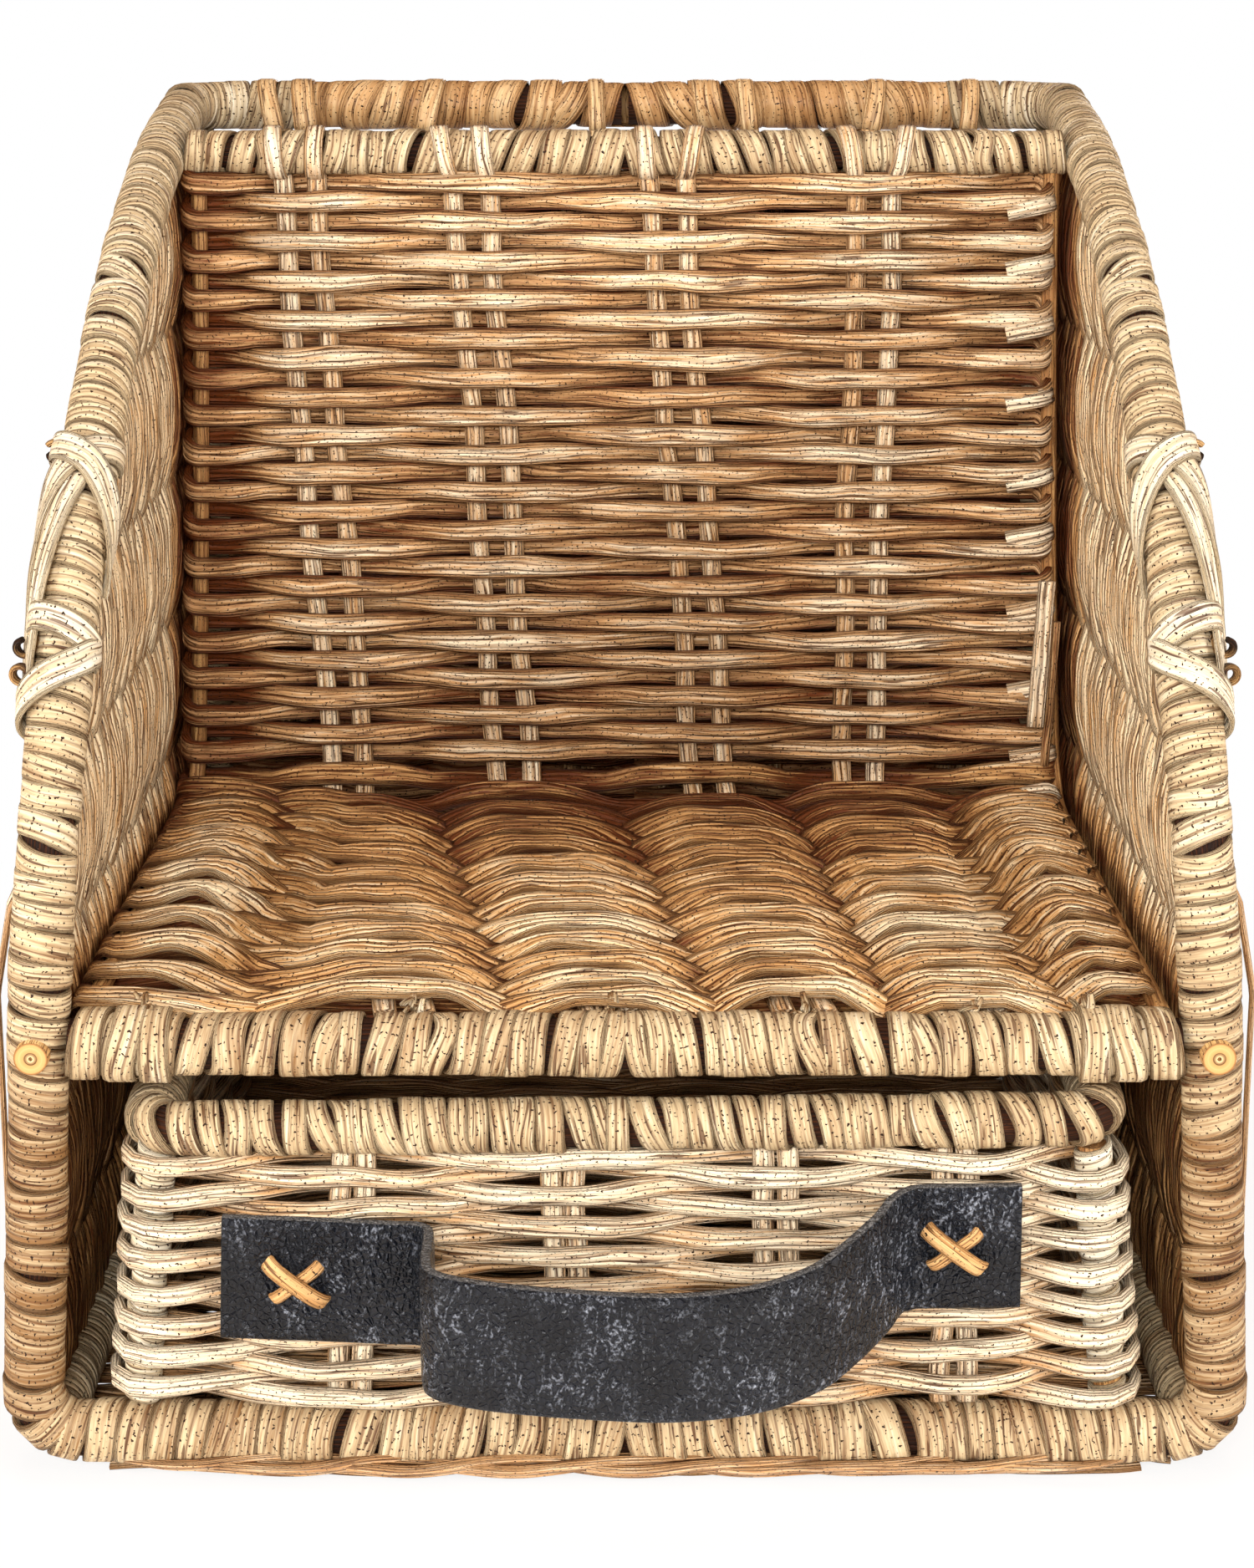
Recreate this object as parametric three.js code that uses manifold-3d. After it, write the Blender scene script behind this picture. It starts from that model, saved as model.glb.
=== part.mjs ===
// Rattan storage basket with an open bay, a woven shelf and a drawer below it.
// Millimetres, +Z up, front towards -Y. Heights are counted from the base rails' centre line,
// and the whole basket is stood on its woven bottom at the end.
import * as THREE from 'three';
import Module from 'manifold-3d';
import { mergeVertices } from 'three/addons/utils/BufferGeometryUtils.js';

const wasm = await Module();
wasm.setup();

// Gap between pieces that touch
const seat = 0.3;

// Wrapped cane frame
const caneRadius = 7;
const baseHalfWidth = 138.5;
const topHalfWidth = 126;
const flareCurve = 1.6;
const frameDepth = 225;
const backRailRise = 294.5;
const rimFullness = 1.8;
const baseCornerRadius = 12;
const baseRailInset = 4;
const backCornerRadius = 20;
const rearPostRadius = 6;
const hoopTopRise = 216;

// Lashings round the frame
const lashWall = 2.2;
const lashLength = 22;
const lashWraps = 4;
const lashGroove = 0.7;
const lowerLashRise = 176;

// Woven walls of the frame
const sideWeaveHalf = 5.2;
const backWeaveHalf = 5;
const weaveWaist = 0.58;
const sideStakePitch = 33;
const backStakePitch = 30;
const sideTipWidth = 12;
const sideBandPitch = 14.7;
const strandHalf = 2.2;
const wallRodRadius = 3.5;
const wallRodDrop = 2.6;
const bottomWeaveDepth = 4.7;
const bottomWeaveRipple = 2.2;
const bottomWeaveProud = 2;
const bottomStakePitch = 42;
const bottomCrestShare = 0.45;
const runnerRadius = 6.9;
const runnerInset = 34;

// Shelf and bay back, one woven sheet bent like a seat
const shelfRise = 96.5;
const shelfRodRadius = 4;
const shelfRodProud = 1.5;
const shelfRailRadius = 7.2;
const shelfWrapPitch = 5.6;
const shelfWeaveLift = 5.3;
const insertRun = 165;
const insertBendRadius = 16;
const insertWeaveHalf = 5;
const insertRailLift = 0.9;
const insertRailRadius = 5.5;
const insertWrapPitch = 7;
const insertStakePairPitch = 51;
const insertRowPitch = 5.35;
const shelfRowPitch = 6.9;
const edgeStakeRadius = 3.2;
const shelfBarRadius = 4.5;
const shelfBarSetback = 25;
const wrapGroove = 0.8;

// Drawer
const drawerRimSideGap = 13.3;
const drawerFootSideGap = 11.5;
const drawerRearGap = 11.6;
const drawerTopGap = 2.3;
const drawerRimRadius = 6.5;
const drawerRimCorner = 10;
const drawerWrapPitch = 10.4;
const drawerRimSides = 8;
const drawerFloorThickness = 6;
const drawerLift = 0.35;
const drawerWeaveHalf = 5;
const drawerStakePitch = 46;
const cornerStakeRadius = 5.5;

// Leather strap and its cane ties
const strapWidth = 30;
const strapThickness = 2.8;
const strapLeftInset = 18.5;
const strapRightInset = 20.5;
const strapFoldShare = 0.51;
const strapLandingShare = 0.733;
const strapStandOff = 31;
const strapLift = 32.7;
const strapSag = 2.6;
const strapRightLift = 9.3;
const tieLeftInset = 17;
const tieRightInset = 15;
const tieWidth = 3;
const tieThickness = 1;
const tieReach = 6.6;
const tieSpread = 5.2;
const tieHoleSize = 3.8;

const shelfSideClear = sideWeaveHalf + seat;
const backInset = backCornerRadius * (1 - Math.SQRT1_2);
const rearPostRun = frameDepth - backInset;
const sideWallEnd = rearPostRun - rearPostRadius - seat;
const restRise = caneRadius + seat;
const baseRailHalfWidth = baseHalfWidth - baseRailInset;
const shelfLevel = shelfRise + shelfWeaveLift;

const caneMaterial = { color: 0xd2ac74, roughness: 0.62, metalness: 0 };
const weaveMaterial = { color: 0xc79a5f, roughness: 0.68, metalness: 0 };
const bareCaneMaterial = { color: 0xb98a50, roughness: 0.6, metalness: 0 };
const leatherMaterial = { color: 0x34363a, roughness: 0.55, metalness: 0 };
const tieMaterial = { color: 0xc2935a, roughness: 0.6, metalness: 0 };

const basket = new THREE.Group();

function addPiece(name, geometry, look) {
  const mesh = new THREE.Mesh(geometry, new THREE.MeshStandardMaterial(look));
  mesh.name = name;
  basket.add(mesh);
  return mesh;
}

// A mirror image across the middle plane, with its faces turned outwards again
function mirrored(geometry) {
  const copy = geometry.clone().scale(-1, 1, 1);
  const index = copy.index.array;
  for (let k = 0; k < index.length; k += 3) {
    const swap = index[k];
    index[k] = index[k + 1];
    index[k + 1] = swap;
  }
  return copy;
}

function addPair(name, geometry, look) {
  addPiece(`${name}_right`, geometry, look);
  addPiece(`${name}_left`, mirrored(geometry), look);
}

function signedVolume(points, faces) {
  let volume = 0;
  const cross = new THREE.Vector3();
  for (let k = 0; k < faces.length; k += 3) {
    cross.crossVectors(points[faces[k + 1]], points[faces[k + 2]]);
    volume += points[faces[k]].dot(cross) / 6;
  }
  return volume;
}

// Skin over a run of equal rings. An open run gets end faces that pair each ring's first half
// with its second half; a closed run joins its last ring to its first.
function loft(rings, closed = false) {
  const size = rings[0].length;
  const count = rings.length;
  const points = rings.flat();
  const faces = [];
  const quad = (a, b, c, d) => faces.push(a, b, c, a, c, d);
  const spans = closed ? count : count - 1;
  for (let j = 0; j < spans; j += 1) {
    const next = (j + 1) % count;
    for (let i = 0; i < size; i += 1) {
      const turn = (i + 1) % size;
      quad(j * size + i, next * size + i, next * size + turn, j * size + turn);
    }
  }
  if (!closed) {
    const last = (count - 1) * size;
    for (let i = 0; i < size / 2 - 1; i += 1) {
      quad(i, i + 1, size - 2 - i, size - 1 - i);
      quad(last + size - 1 - i, last + size - 2 - i, last + i + 1, last + i);
    }
  }
  if (signedVolume(points, faces) < 0) {
    faces.reverse();
  }
  const geometry = new THREE.BufferGeometry().setFromPoints(points);
  geometry.setIndex(faces);
  return geometry;
}

// Round cane along a curve. Without a wrap pitch it is smooth, with one its skin has a groove
// between each two turns of the wrapping.
function cane(curve, radius, { sides = 8, step = 11, wrapPitch = 0, closed = false } = {}) {
  const length = curve.getLength();
  const turns = wrapPitch ? Math.max(2, Math.round(length / wrapPitch)) : 0;
  const steps = wrapPitch ? turns * 2 : Math.max(1, Math.ceil(length / step));
  const frames = curve.computeFrenetFrames(steps, closed);
  const rings = [];
  const last = closed ? steps - 1 : steps;
  for (let j = 0; j <= last; j += 1) {
    const centre = curve.getPointAt(j / steps);
    const grooved = wrapPitch && j % 2 === 0;
    const reach = grooved ? radius - wrapGroove : radius;
    rings.push(ringAround(centre, frames.normals[j], frames.binormals[j], reach, sides));
  }
  return loft(rings, closed);
}

function ringAround(centre, across, up, reach, sides) {
  const ring = [];
  for (let i = 0; i < sides; i += 1) {
    const angle = ((i + 0.5) / sides) * 2 * Math.PI;
    ring.push(centre.clone()
      .addScaledVector(across, reach * Math.cos(angle))
      .addScaledVector(up, reach * Math.sin(angle)));
  }
  return ring;
}

function smoothCurve(points, closed = false) {
  return new THREE.CatmullRomCurve3(points, closed, 'centripetal');
}

function straightCurve(from, to) {
  return new THREE.LineCurve3(from, to);
}

// Woven sheet: a closed slab round a middle surface, which its lift moves to either side
function wovenSheet(columns, rows, middle, outward, halfThickness, lift = () => 0) {
  const rings = [];
  for (let i = 0; i <= columns; i += 1) {
    const u = i / columns;
    const front = [];
    const back = [];
    for (let j = 0; j <= rows; j += 1) {
      const v = j / rows;
      const centre = middle(u, v);
      const normal = outward(u, v);
      const half = halfThickness(u, v);
      const shift = lift(i, j);
      front.push(centre.clone().addScaledVector(normal, shift + half));
      back.push(centre.clone().addScaledVector(normal, shift - half));
    }
    rings.push([...front, ...back.reverse()]);
  }
  return loft(rings);
}

// Envelope of weavers that rise over each stake, for columns placed half a stake pitch apart
function stakeWave(half, columns) {
  return (u) => half * (Math.round(u * columns) % 2 === 1 ? 1 : weaveWaist);
}

// Plain weave: rings are strips and every second point is a stake. At a stake the strips pass in
// front and behind by turns, and between the stakes they cross over. The end rings can lie flat.
function plainWeave(reach, lastRing, flatEnds) {
  return (ring, point) => {
    if (point % 2 === 0 || (flatEnds && (ring === 0 || ring === lastRing))) {
      return 0;
    }
    return (reach - strandHalf) * ((ring + (point - 1) / 2) % 2 === 0 ? 1 : -1);
  };
}

function evenColumns(length, pitch) {
  return 2 * Math.max(1, Math.round(length / pitch));
}

function toSolid(geometry) {
  const bare = geometry.clone();
  bare.deleteAttribute('normal');
  bare.deleteAttribute('uv');
  const merged = mergeVertices(bare, 1e-5);
  return new wasm.Manifold(new wasm.Mesh({
    numProp: 3,
    vertProperties: new Float32Array(merged.attributes.position.array),
    triVerts: new Uint32Array(merged.index.array),
  }));
}

function fromSolid(solid) {
  const mesh = solid.getMesh();
  const geometry = new THREE.BufferGeometry();
  geometry.setAttribute('position', new THREE.BufferAttribute(new Float32Array(mesh.vertProperties), 3));
  geometry.setIndex(new THREE.BufferAttribute(new Uint32Array(mesh.triVerts), 1));
  return geometry;
}

function cutAway(geometry, ...tools) {
  let solid = toSolid(geometry);
  for (const tool of tools) {
    solid = solid.subtract(toSolid(tool));
  }
  return fromSolid(solid);
}

// Half width of the frame: widest at the base, drawing in quickly at first and then slowly
function frameHalf(rise) {
  const left = 1 - Math.min(Math.max(rise / backRailRise, 0), 1);
  return topHalfWidth + (baseHalfWidth - topHalfWidth) * Math.pow(left, flareCurve);
}

// Side outline above the shelf: a quarter of a full-bodied oval from the post to the back rail
function rimProfile(angle) {
  const power = 2 / rimFullness;
  const run = frameDepth * (1 - Math.pow(Math.cos(angle), power));
  const rise = shelfRise + (backRailRise - shelfRise) * Math.pow(Math.sin(angle), power);
  return { run, rise };
}

function rimAngleAtRise(rise) {
  const share = (rise - shelfRise) / (backRailRise - shelfRise);
  return Math.asin(Math.pow(share, rimFullness / 2));
}

function rimAngleAtRun(run) {
  const share = Math.max(1 - run / frameDepth, 0);
  return Math.acos(Math.pow(share, rimFullness / 2));
}

function sidePoint(angle) {
  const { run, rise } = rimProfile(angle);
  return new THREE.Vector3(frameHalf(rise), run, rise);
}

function bothSides(half) {
  const other = half.slice(1).map((p) => new THREE.Vector3(-p.x, p.y, p.z));
  return [...other.reverse(), ...half];
}

// Round corner in plan, from the side run to the back run of a rail
function backCorner(halfWidth, rise) {
  const points = [];
  const turns = 5;
  for (let k = 1; k <= turns; k += 1) {
    const angle = (k / turns) * Math.PI / 2;
    points.push(new THREE.Vector3(
      halfWidth - backCornerRadius * (1 - Math.cos(angle)),
      frameDepth - backCornerRadius * (1 - Math.sin(angle)),
      rise,
    ));
  }
  return points;
}

// Front hoop: up one side, with round bottom corners, seen from the middle of the bottom run
function hoopHalf() {
  const points = [new THREE.Vector3(0, 0, 0), new THREE.Vector3(baseHalfWidth / 2, 0, 0)];
  const turns = 5;
  const cornerX = baseHalfWidth - baseCornerRadius;
  for (let k = 0; k <= turns; k += 1) {
    const angle = (k / turns) * Math.PI / 2;
    const rise = baseCornerRadius * (1 - Math.cos(angle));
    const narrowing = baseHalfWidth - frameHalf(rise);
    points.push(new THREE.Vector3(cornerX + baseCornerRadius * Math.sin(angle) - narrowing, 0, rise));
  }
  const straightSteps = 3;
  for (let k = 1; k <= straightSteps; k += 1) {
    const rise = baseCornerRadius + (shelfRise - baseCornerRadius) * (k / straightSteps);
    points.push(new THREE.Vector3(frameHalf(rise), 0, rise));
  }
  const endAngle = rimAngleAtRise(hoopTopRise);
  const bentSteps = 14;
  for (let k = 1; k <= bentSteps; k += 1) {
    points.push(sidePoint(endAngle * (k / bentSteps)));
  }
  return points;
}

// Top rim: from the lashed joint with the hoop, up and back, round the corner, along the back
function rimHalf() {
  const points = [];
  const startAngle = rimAngleAtRise(hoopTopRise + 2 * seat);
  const endAngle = rimAngleAtRun(frameDepth - backCornerRadius);
  const bentSteps = 18;
  for (let k = 0; k <= bentSteps; k += 1) {
    points.push(sidePoint(startAngle + (endAngle - startAngle) * (k / bentSteps)));
  }
  const corner = backCorner(topHalfWidth, backRailRise);
  points.push(...corner);
  points.push(new THREE.Vector3(topHalfWidth / 2, frameDepth, backRailRise));
  points.push(new THREE.Vector3(0, frameDepth, backRailRise));
  return points.reverse();
}

function shelfRodTool(radius, fromRun, toRun) {
  const x = frameHalf(shelfRise);
  const from = new THREE.Vector3(x, fromRun, shelfRise);
  const to = new THREE.Vector3(x, toRun, shelfRise);
  return cane(straightCurve(from, to), radius, { sides: 12, step: frameDepth });
}

const hoopCurve = smoothCurve(bothSides(hoopHalf()));
const rimCurve = smoothCurve(bothSides(rimHalf()));
const rodBoreRadius = shelfRodRadius + seat;
const rodBore = shelfRodTool(rodBoreRadius, -2 * caneRadius, 2 * caneRadius);
const plainHoop = cane(hoopCurve, caneRadius, { step: 10 });
addPiece('front_hoop', cutAway(plainHoop, rodBore, mirrored(rodBore)), caneMaterial);
addPiece('top_rim', cane(rimCurve, caneRadius, { step: 10 }), caneMaterial);

function baseRailHalf() {
  return [
    new THREE.Vector3(0, frameDepth, 0),
    new THREE.Vector3(baseRailHalfWidth / 2, frameDepth, 0),
    ...backCorner(baseRailHalfWidth, 0).reverse(),
    new THREE.Vector3(baseRailHalfWidth, frameDepth - backCornerRadius, 0),
    new THREE.Vector3(baseRailHalfWidth, frameDepth / 2, 0),
    new THREE.Vector3(baseRailHalfWidth, restRise, 0),
  ];
}

addPiece('base_rail', cane(smoothCurve(bothSides(baseRailHalf())), caneRadius, { step: 13 }),
  caneMaterial);

// Rear posts stand on the round corners of the base rail, under those of the top rim
function rearPostX(rise) {
  const share = rise / backRailRise;
  return baseRailHalfWidth + (topHalfWidth - baseRailHalfWidth) * share - backInset;
}

const rearPostFoot = new THREE.Vector3(rearPostX(restRise), rearPostRun, restRise);
const rearPostTopRise = backRailRise - restRise;
const rearPostTop = new THREE.Vector3(rearPostX(rearPostTopRise), rearPostRun, rearPostTopRise);
addPair('rear_post', cane(straightCurve(rearPostFoot, rearPostTop), rearPostRadius, { step: 75 }),
  caneMaterial);

addPair('shelf_rod', shelfRodTool(shelfRodRadius, -caneRadius - shelfRodProud, sideWallEnd),
  bareCaneMaterial);

// Lashing: a sleeve of wraps round a cane, between two places on its curve
function lashing(curve, from, to, caneSize, wraps = lashWraps) {
  const inner = caneSize + seat;
  const outer = inner + lashWall;
  const steps = wraps * 2;
  const stations = [];
  for (let j = 0; j <= steps; j += 1) {
    const t = from + (to - from) * (j / steps);
    const tangent = curve.getTangentAt(t);
    const across = new THREE.Vector3(0, 0, 1).cross(tangent);
    if (across.lengthSq() < 0.04) {
      across.set(1, 0, 0);
    }
    across.addScaledVector(tangent, -across.dot(tangent)).normalize();
    const up = tangent.clone().cross(across);
    stations.push({ centre: curve.getPointAt(t), across, up, reach: j % 2 ? outer : outer - lashGroove });
  }
  const place = (station, reach, angle) => station.centre.clone()
    .addScaledVector(station.across, reach * Math.cos(angle))
    .addScaledVector(station.up, reach * Math.sin(angle));
  const rings = [];
  const around = 10;
  const innerReach = inner / Math.cos(Math.PI / around);
  for (let i = 0; i < around; i += 1) {
    const angle = (i / around) * 2 * Math.PI;
    const skin = stations.map((station) => place(station, station.reach + innerReach - inner, angle));
    const bore = stations.map((station) => place(station, innerReach, angle));
    rings.push([...skin, ...bore.reverse()]);
  }
  return loft(rings, true);
}

// Solid that clears a lashing out of the sheet beside it
function lashRoom(curve, from, to, caneSize) {
  const points = [];
  const steps = 6;
  for (let j = 0; j <= steps; j += 1) {
    points.push(curve.getPointAt(from + (to - from) * (j / steps)));
  }
  const reach = (caneSize + lashWall + 3 * seat) / Math.cos(Math.PI / 12);
  return cane(smoothCurve(points), reach, { sides: 12, step: 4 });
}

// Where a curve first passes a height on the +X side, as a share of its length
function shareAtRise(curve, rise, fromShare, toShare) {
  let low = fromShare;
  let high = toShare;
  const rising = curve.getPointAt(high).z > curve.getPointAt(low).z;
  for (let k = 0; k < 30; k += 1) {
    const middle = (low + high) / 2;
    const below = curve.getPointAt(middle).z < rise;
    if (below === rising) {
      low = middle;
    } else {
      high = middle;
    }
  }
  return (low + high) / 2;
}

const hoopLength = hoopCurve.getLength();
const lowerLashMiddle = shareAtRise(hoopCurve, lowerLashRise, 0.5, 1);
const lowerLashSpan = lashLength / hoopLength / 2;
const lowerLashFrom = lowerLashMiddle - lowerLashSpan;
const lowerLashTo = lowerLashMiddle + lowerLashSpan;
addPair('lower_lash', lashing(hoopCurve, lowerLashFrom, lowerLashTo, caneRadius), caneMaterial);

// The upper lashing spans the joint, so it follows one curve laid through both canes
const jointAngle = rimAngleAtRise(hoopTopRise);
const jointPoints = [];
for (let k = -4; k <= 4; k += 1) {
  jointPoints.push(sidePoint(jointAngle + k * 0.045));
}
const jointCurve = smoothCurve(jointPoints);
const jointSpan = lashLength / jointCurve.getLength() / 2;
addPair('upper_lash', lashing(jointCurve, 0.5 - jointSpan, 0.5 + jointSpan, caneRadius), caneMaterial);

const lashMargin = seat * 3;
const sideLashRooms = [
  lashRoom(hoopCurve, lowerLashFrom - lashMargin / hoopLength, lowerLashTo + lashMargin / hoopLength,
    caneRadius),
  lashRoom(jointCurve, 0.5 - jointSpan - lashMargin / jointCurve.getLength(),
    0.5 + jointSpan + lashMargin / jointCurve.getLength(), caneRadius),
];

// Inner edge of the bent cane, which the side weave follows
function rimUnderside() {
  const edge = [];
  const steps = 160;
  for (let k = 0; k <= steps; k += 1) {
    const angle = (k / steps) * (Math.PI / 2);
    const here = rimProfile(angle);
    const ahead = rimProfile(Math.min(angle + 0.01, Math.PI / 2));
    const behind = rimProfile(Math.max(angle - 0.01, 0));
    const run = ahead.run - behind.run;
    const rise = ahead.rise - behind.rise;
    const size = Math.hypot(run, rise);
    const offset = caneRadius + seat;
    edge.push({ run: here.run + (rise / size) * offset, rise: here.rise - (run / size) * offset });
  }
  return edge;
}

const sideEdge = rimUnderside();

function sideFrontAtRise(rise) {
  let k = 1;
  while (k < sideEdge.length - 1 && sideEdge[k].rise < rise) {
    k += 1;
  }
  const a = sideEdge[k - 1];
  const b = sideEdge[k];
  const share = Math.min(Math.max((rise - a.rise) / (b.rise - a.rise), 0), 1);
  return a.run + (b.run - a.run) * share;
}

const outwardX = () => new THREE.Vector3(1, 0, 0);
const outwardY = () => new THREE.Vector3(0, 1, 0);

// Side panel: upright bands of strips from the base or shelf upwards, woven round level stakes
function sidePanel(low, high) {
  const bands = Math.round((sideWallEnd - restRise) / sideBandPitch);
  const middle = (u, v) => {
    const rise = low + (high - low) * v;
    return new THREE.Vector3(frameHalf(rise), restRise + (sideWallEnd - restRise) * u, rise);
  };
  const weave = plainWeave(sideWeaveHalf, bands, false);
  const meetsPost = strandHalf - sideWeaveHalf;
  return wovenSheet(bands, evenColumns(high - low, sideStakePitch), middle, outwardX, () => strandHalf,
    (ring, point) => (ring === bands ? meetsPost : weave(ring, point)));
}

// Everything behind the bent cane's inner edge, up to where the panel would run out to a tip
function behindRim(low, high) {
  const heights = [low - seat];
  heights.push(...sideEdge.map((p) => p.rise).filter((rise, k) => rise > low + 1 && rise < high && k % 4 === 0));
  heights.push(high + seat);
  return loft([baseHalfWidth / 2, baseHalfWidth + 2 * caneRadius].map((x) => {
    const front = heights.map((rise) => new THREE.Vector3(x, sideFrontAtRise(Math.min(rise, high)), rise));
    const back = heights.map((rise) => new THREE.Vector3(x, frameDepth, rise));
    return [...front, ...back.reverse()];
  }));
}

function upperSideWeave() {
  const low = shelfRise + rodBoreRadius;
  const high = sideEdge.find((p) => p.run > sideWallEnd - sideTipWidth).rise;
  let panel = toSolid(sidePanel(low, high)).intersect(toSolid(behindRim(low, high)));
  for (const room of sideLashRooms) {
    panel = panel.subtract(toSolid(room));
  }
  return fromSolid(panel);
}

function lowerSideWeave() {
  return sidePanel(restRise, shelfRise - rodBoreRadius);
}

addPair('side_weave_upper', upperSideWeave(), weaveMaterial);
addPair('side_weave_lower', lowerSideWeave(), weaveMaterial);

// Outer back wall, hung between the rear posts under its own top rod
const wallRodRise = backRailRise - caneRadius - wallRodDrop - wallRodRadius;

function backWallHalf(rise) {
  return rearPostX(rise) - rearPostRadius - seat;
}

function backWeave() {
  const low = restRise;
  const high = wallRodRise - wallRodRadius - seat;
  const columns = evenColumns(2 * backWallHalf(low), backStakePitch);
  const middle = (u, v) => {
    const rise = low + (high - low) * v;
    return new THREE.Vector3(backWallHalf(rise) * (2 * u - 1), rearPostRun, rise);
  };
  return wovenSheet(columns, 4, middle, outwardY, stakeWave(backWeaveHalf, columns));
}

addPiece('back_weave', backWeave(), weaveMaterial);
const wallRodEnd = backWallHalf(wallRodRise);
addPiece('back_wall_rod', cane(straightCurve(
  new THREE.Vector3(-wallRodEnd, rearPostRun, wallRodRise),
  new THREE.Vector3(wallRodEnd, rearPostRun, wallRodRise),
), wallRodRadius, { step: 120 }), caneMaterial);

// Woven bottom: flat crests that the basket stands on, with shallow valleys between them
function bottomWeave() {
  const half = baseRailHalfWidth + bottomWeaveProud;
  const depth = frameDepth + 2 * bottomWeaveProud;
  const stations = [];
  const crests = Math.max(3, Math.round((2 * half) / bottomStakePitch));
  const pitch = (2 * half) / crests;
  for (let k = 0; k < crests; k += 1) {
    const middle = -half + pitch * (k + 0.5);
    stations.push({ x: middle - pitch * 0.5, lift: bottomWeaveRipple });
    stations.push({ x: middle - pitch * 0.5 * bottomCrestShare, lift: 0 });
    stations.push({ x: middle + pitch * 0.5 * bottomCrestShare, lift: 0 });
  }
  stations.push({ x: half, lift: bottomWeaveRipple });
  const top = -restRise;
  const rings = stations.map(({ x, lift }) => {
    const past = Math.max(0, Math.abs(x) - (half - backCornerRadius));
    const inset = backCornerRadius - Math.sqrt(Math.max(0, backCornerRadius ** 2 - past ** 2));
    const front = -bottomWeaveProud * 2 + inset;
    const back = depth - bottomWeaveProud - inset;
    const floor = top - bottomWeaveDepth + lift;
    return [
      new THREE.Vector3(x, front, top),
      new THREE.Vector3(x, back, top),
      new THREE.Vector3(x, back, floor),
      new THREE.Vector3(x, front, floor),
    ];
  });
  return loft(rings);
}

addPiece('bottom_weave', bottomWeave(), weaveMaterial);

// Shelf front rail, wrapped, between the two posts
const shelfRailEnd = frameHalf(shelfRise) - caneRadius - seat;
const shelfRailCurve = straightCurve(
  new THREE.Vector3(-shelfRailEnd, 0, shelfRise),
  new THREE.Vector3(shelfRailEnd, 0, shelfRise),
);
addPiece('shelf_front_rail', cane(shelfRailCurve, shelfRailRadius, { wrapPitch: shelfWrapPitch }),
  caneMaterial);
const shelfLashShare = lashLength / (2 * shelfRailEnd);
const shelfLashEnd = 1 - seat / (2 * shelfRailEnd);
addPair('shelf_lash', lashing(shelfRailCurve, shelfLashEnd - shelfLashShare, shelfLashEnd, shelfRailRadius),
  caneMaterial);
const shelfLashInnerEnd = shelfRailEnd - lashLength - seat;
const shelfEdgeRun = shelfRailRadius + seat;
const lashedEdgeRun = shelfRailRadius + lashWall + 3 * seat;

// Top rail of the bay's back, between the two sides of the rim
const insertRailRise = rimProfile(rimAngleAtRun(insertRun)).rise + insertRailLift;
const insertRailEnd = frameHalf(insertRailRise) - caneRadius - seat;
addPiece('insert_top_rail', cane(straightCurve(
  new THREE.Vector3(-insertRailEnd, insertRun, insertRailRise),
  new THREE.Vector3(insertRailEnd, insertRun, insertRailRise),
), insertRailRadius, { wrapPitch: insertWrapPitch }), caneMaterial);

// Bent sheet of the bay: down from its top rail, round the bend, forward to the shelf rail
function insertProfile() {
  const stations = [];
  const top = insertRailRise - insertRailRadius - seat;
  const bendTop = shelfLevel + insertBendRadius;
  const bendFront = insertRun - insertBendRadius;
  const front = lashedEdgeRun;
  const backSteps = Math.round((top - bendTop) / insertRowPitch);
  for (let k = 0; k < backSteps; k += 1) {
    const rise = top + (bendTop - top) * (k / backSteps);
    stations.push({ run: insertRun, rise, out: [1, 0] });
  }
  const bendSteps = 4;
  for (let k = 0; k <= bendSteps; k += 1) {
    const angle = (k / bendSteps) * Math.PI / 2;
    stations.push({
      run: bendFront + insertBendRadius * Math.cos(angle),
      rise: bendTop - insertBendRadius * Math.sin(angle),
      out: [Math.cos(angle), -Math.sin(angle)],
    });
  }
  const barRun = insertRun - shelfBarSetback;
  const shelfSteps = Math.round((barRun - front) / shelfRowPitch);
  for (let k = 0; k <= shelfSteps; k += 1) {
    stations.push({ run: barRun + (front - barRun) * (k / shelfSteps), rise: shelfLevel, out: [0, -1] });
  }
  return stations;
}

const insertStations = insertProfile();

function insertHalf(rise) {
  return frameHalf(rise) - shelfSideClear - 2 * edgeStakeRadius - seat;
}

function insertWeave() {
  const last = insertStations.length - 1;
  const width = 2 * insertHalf(insertRailRise);
  const rows = evenColumns(width, insertStakePairPitch);
  const columnWidth = width / rows;
  const middle = (u, v) => {
    const station = insertStations[Math.round(u * last)];
    const x = insertHalf(station.rise) * (2 * v - 1);
    const underLash = Math.abs(x) + columnWidth > shelfLashInnerEnd;
    const run = u === 1 && !underLash ? shelfEdgeRun : station.run;
    return new THREE.Vector3(x, run, station.rise);
  };
  const outward = (u) => {
    const [run, rise] = insertStations[Math.round(u * last)].out;
    return new THREE.Vector3(0, run, rise);
  };
  return wovenSheet(last, rows, middle, outward, () => strandHalf, plainWeave(insertWeaveHalf, last, true));
}

addPiece('insert_weave', insertWeave(), weaveMaterial);
const edgeStakeCurve = smoothCurve(insertStations.map(({ run, rise }) => new THREE.Vector3(
  insertHalf(rise) + seat + edgeStakeRadius, run, rise,
)));
addPair('insert_edge_stake', cane(edgeStakeCurve, edgeStakeRadius, { sides: 6, step: 12 }),
  bareCaneMaterial);

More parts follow.
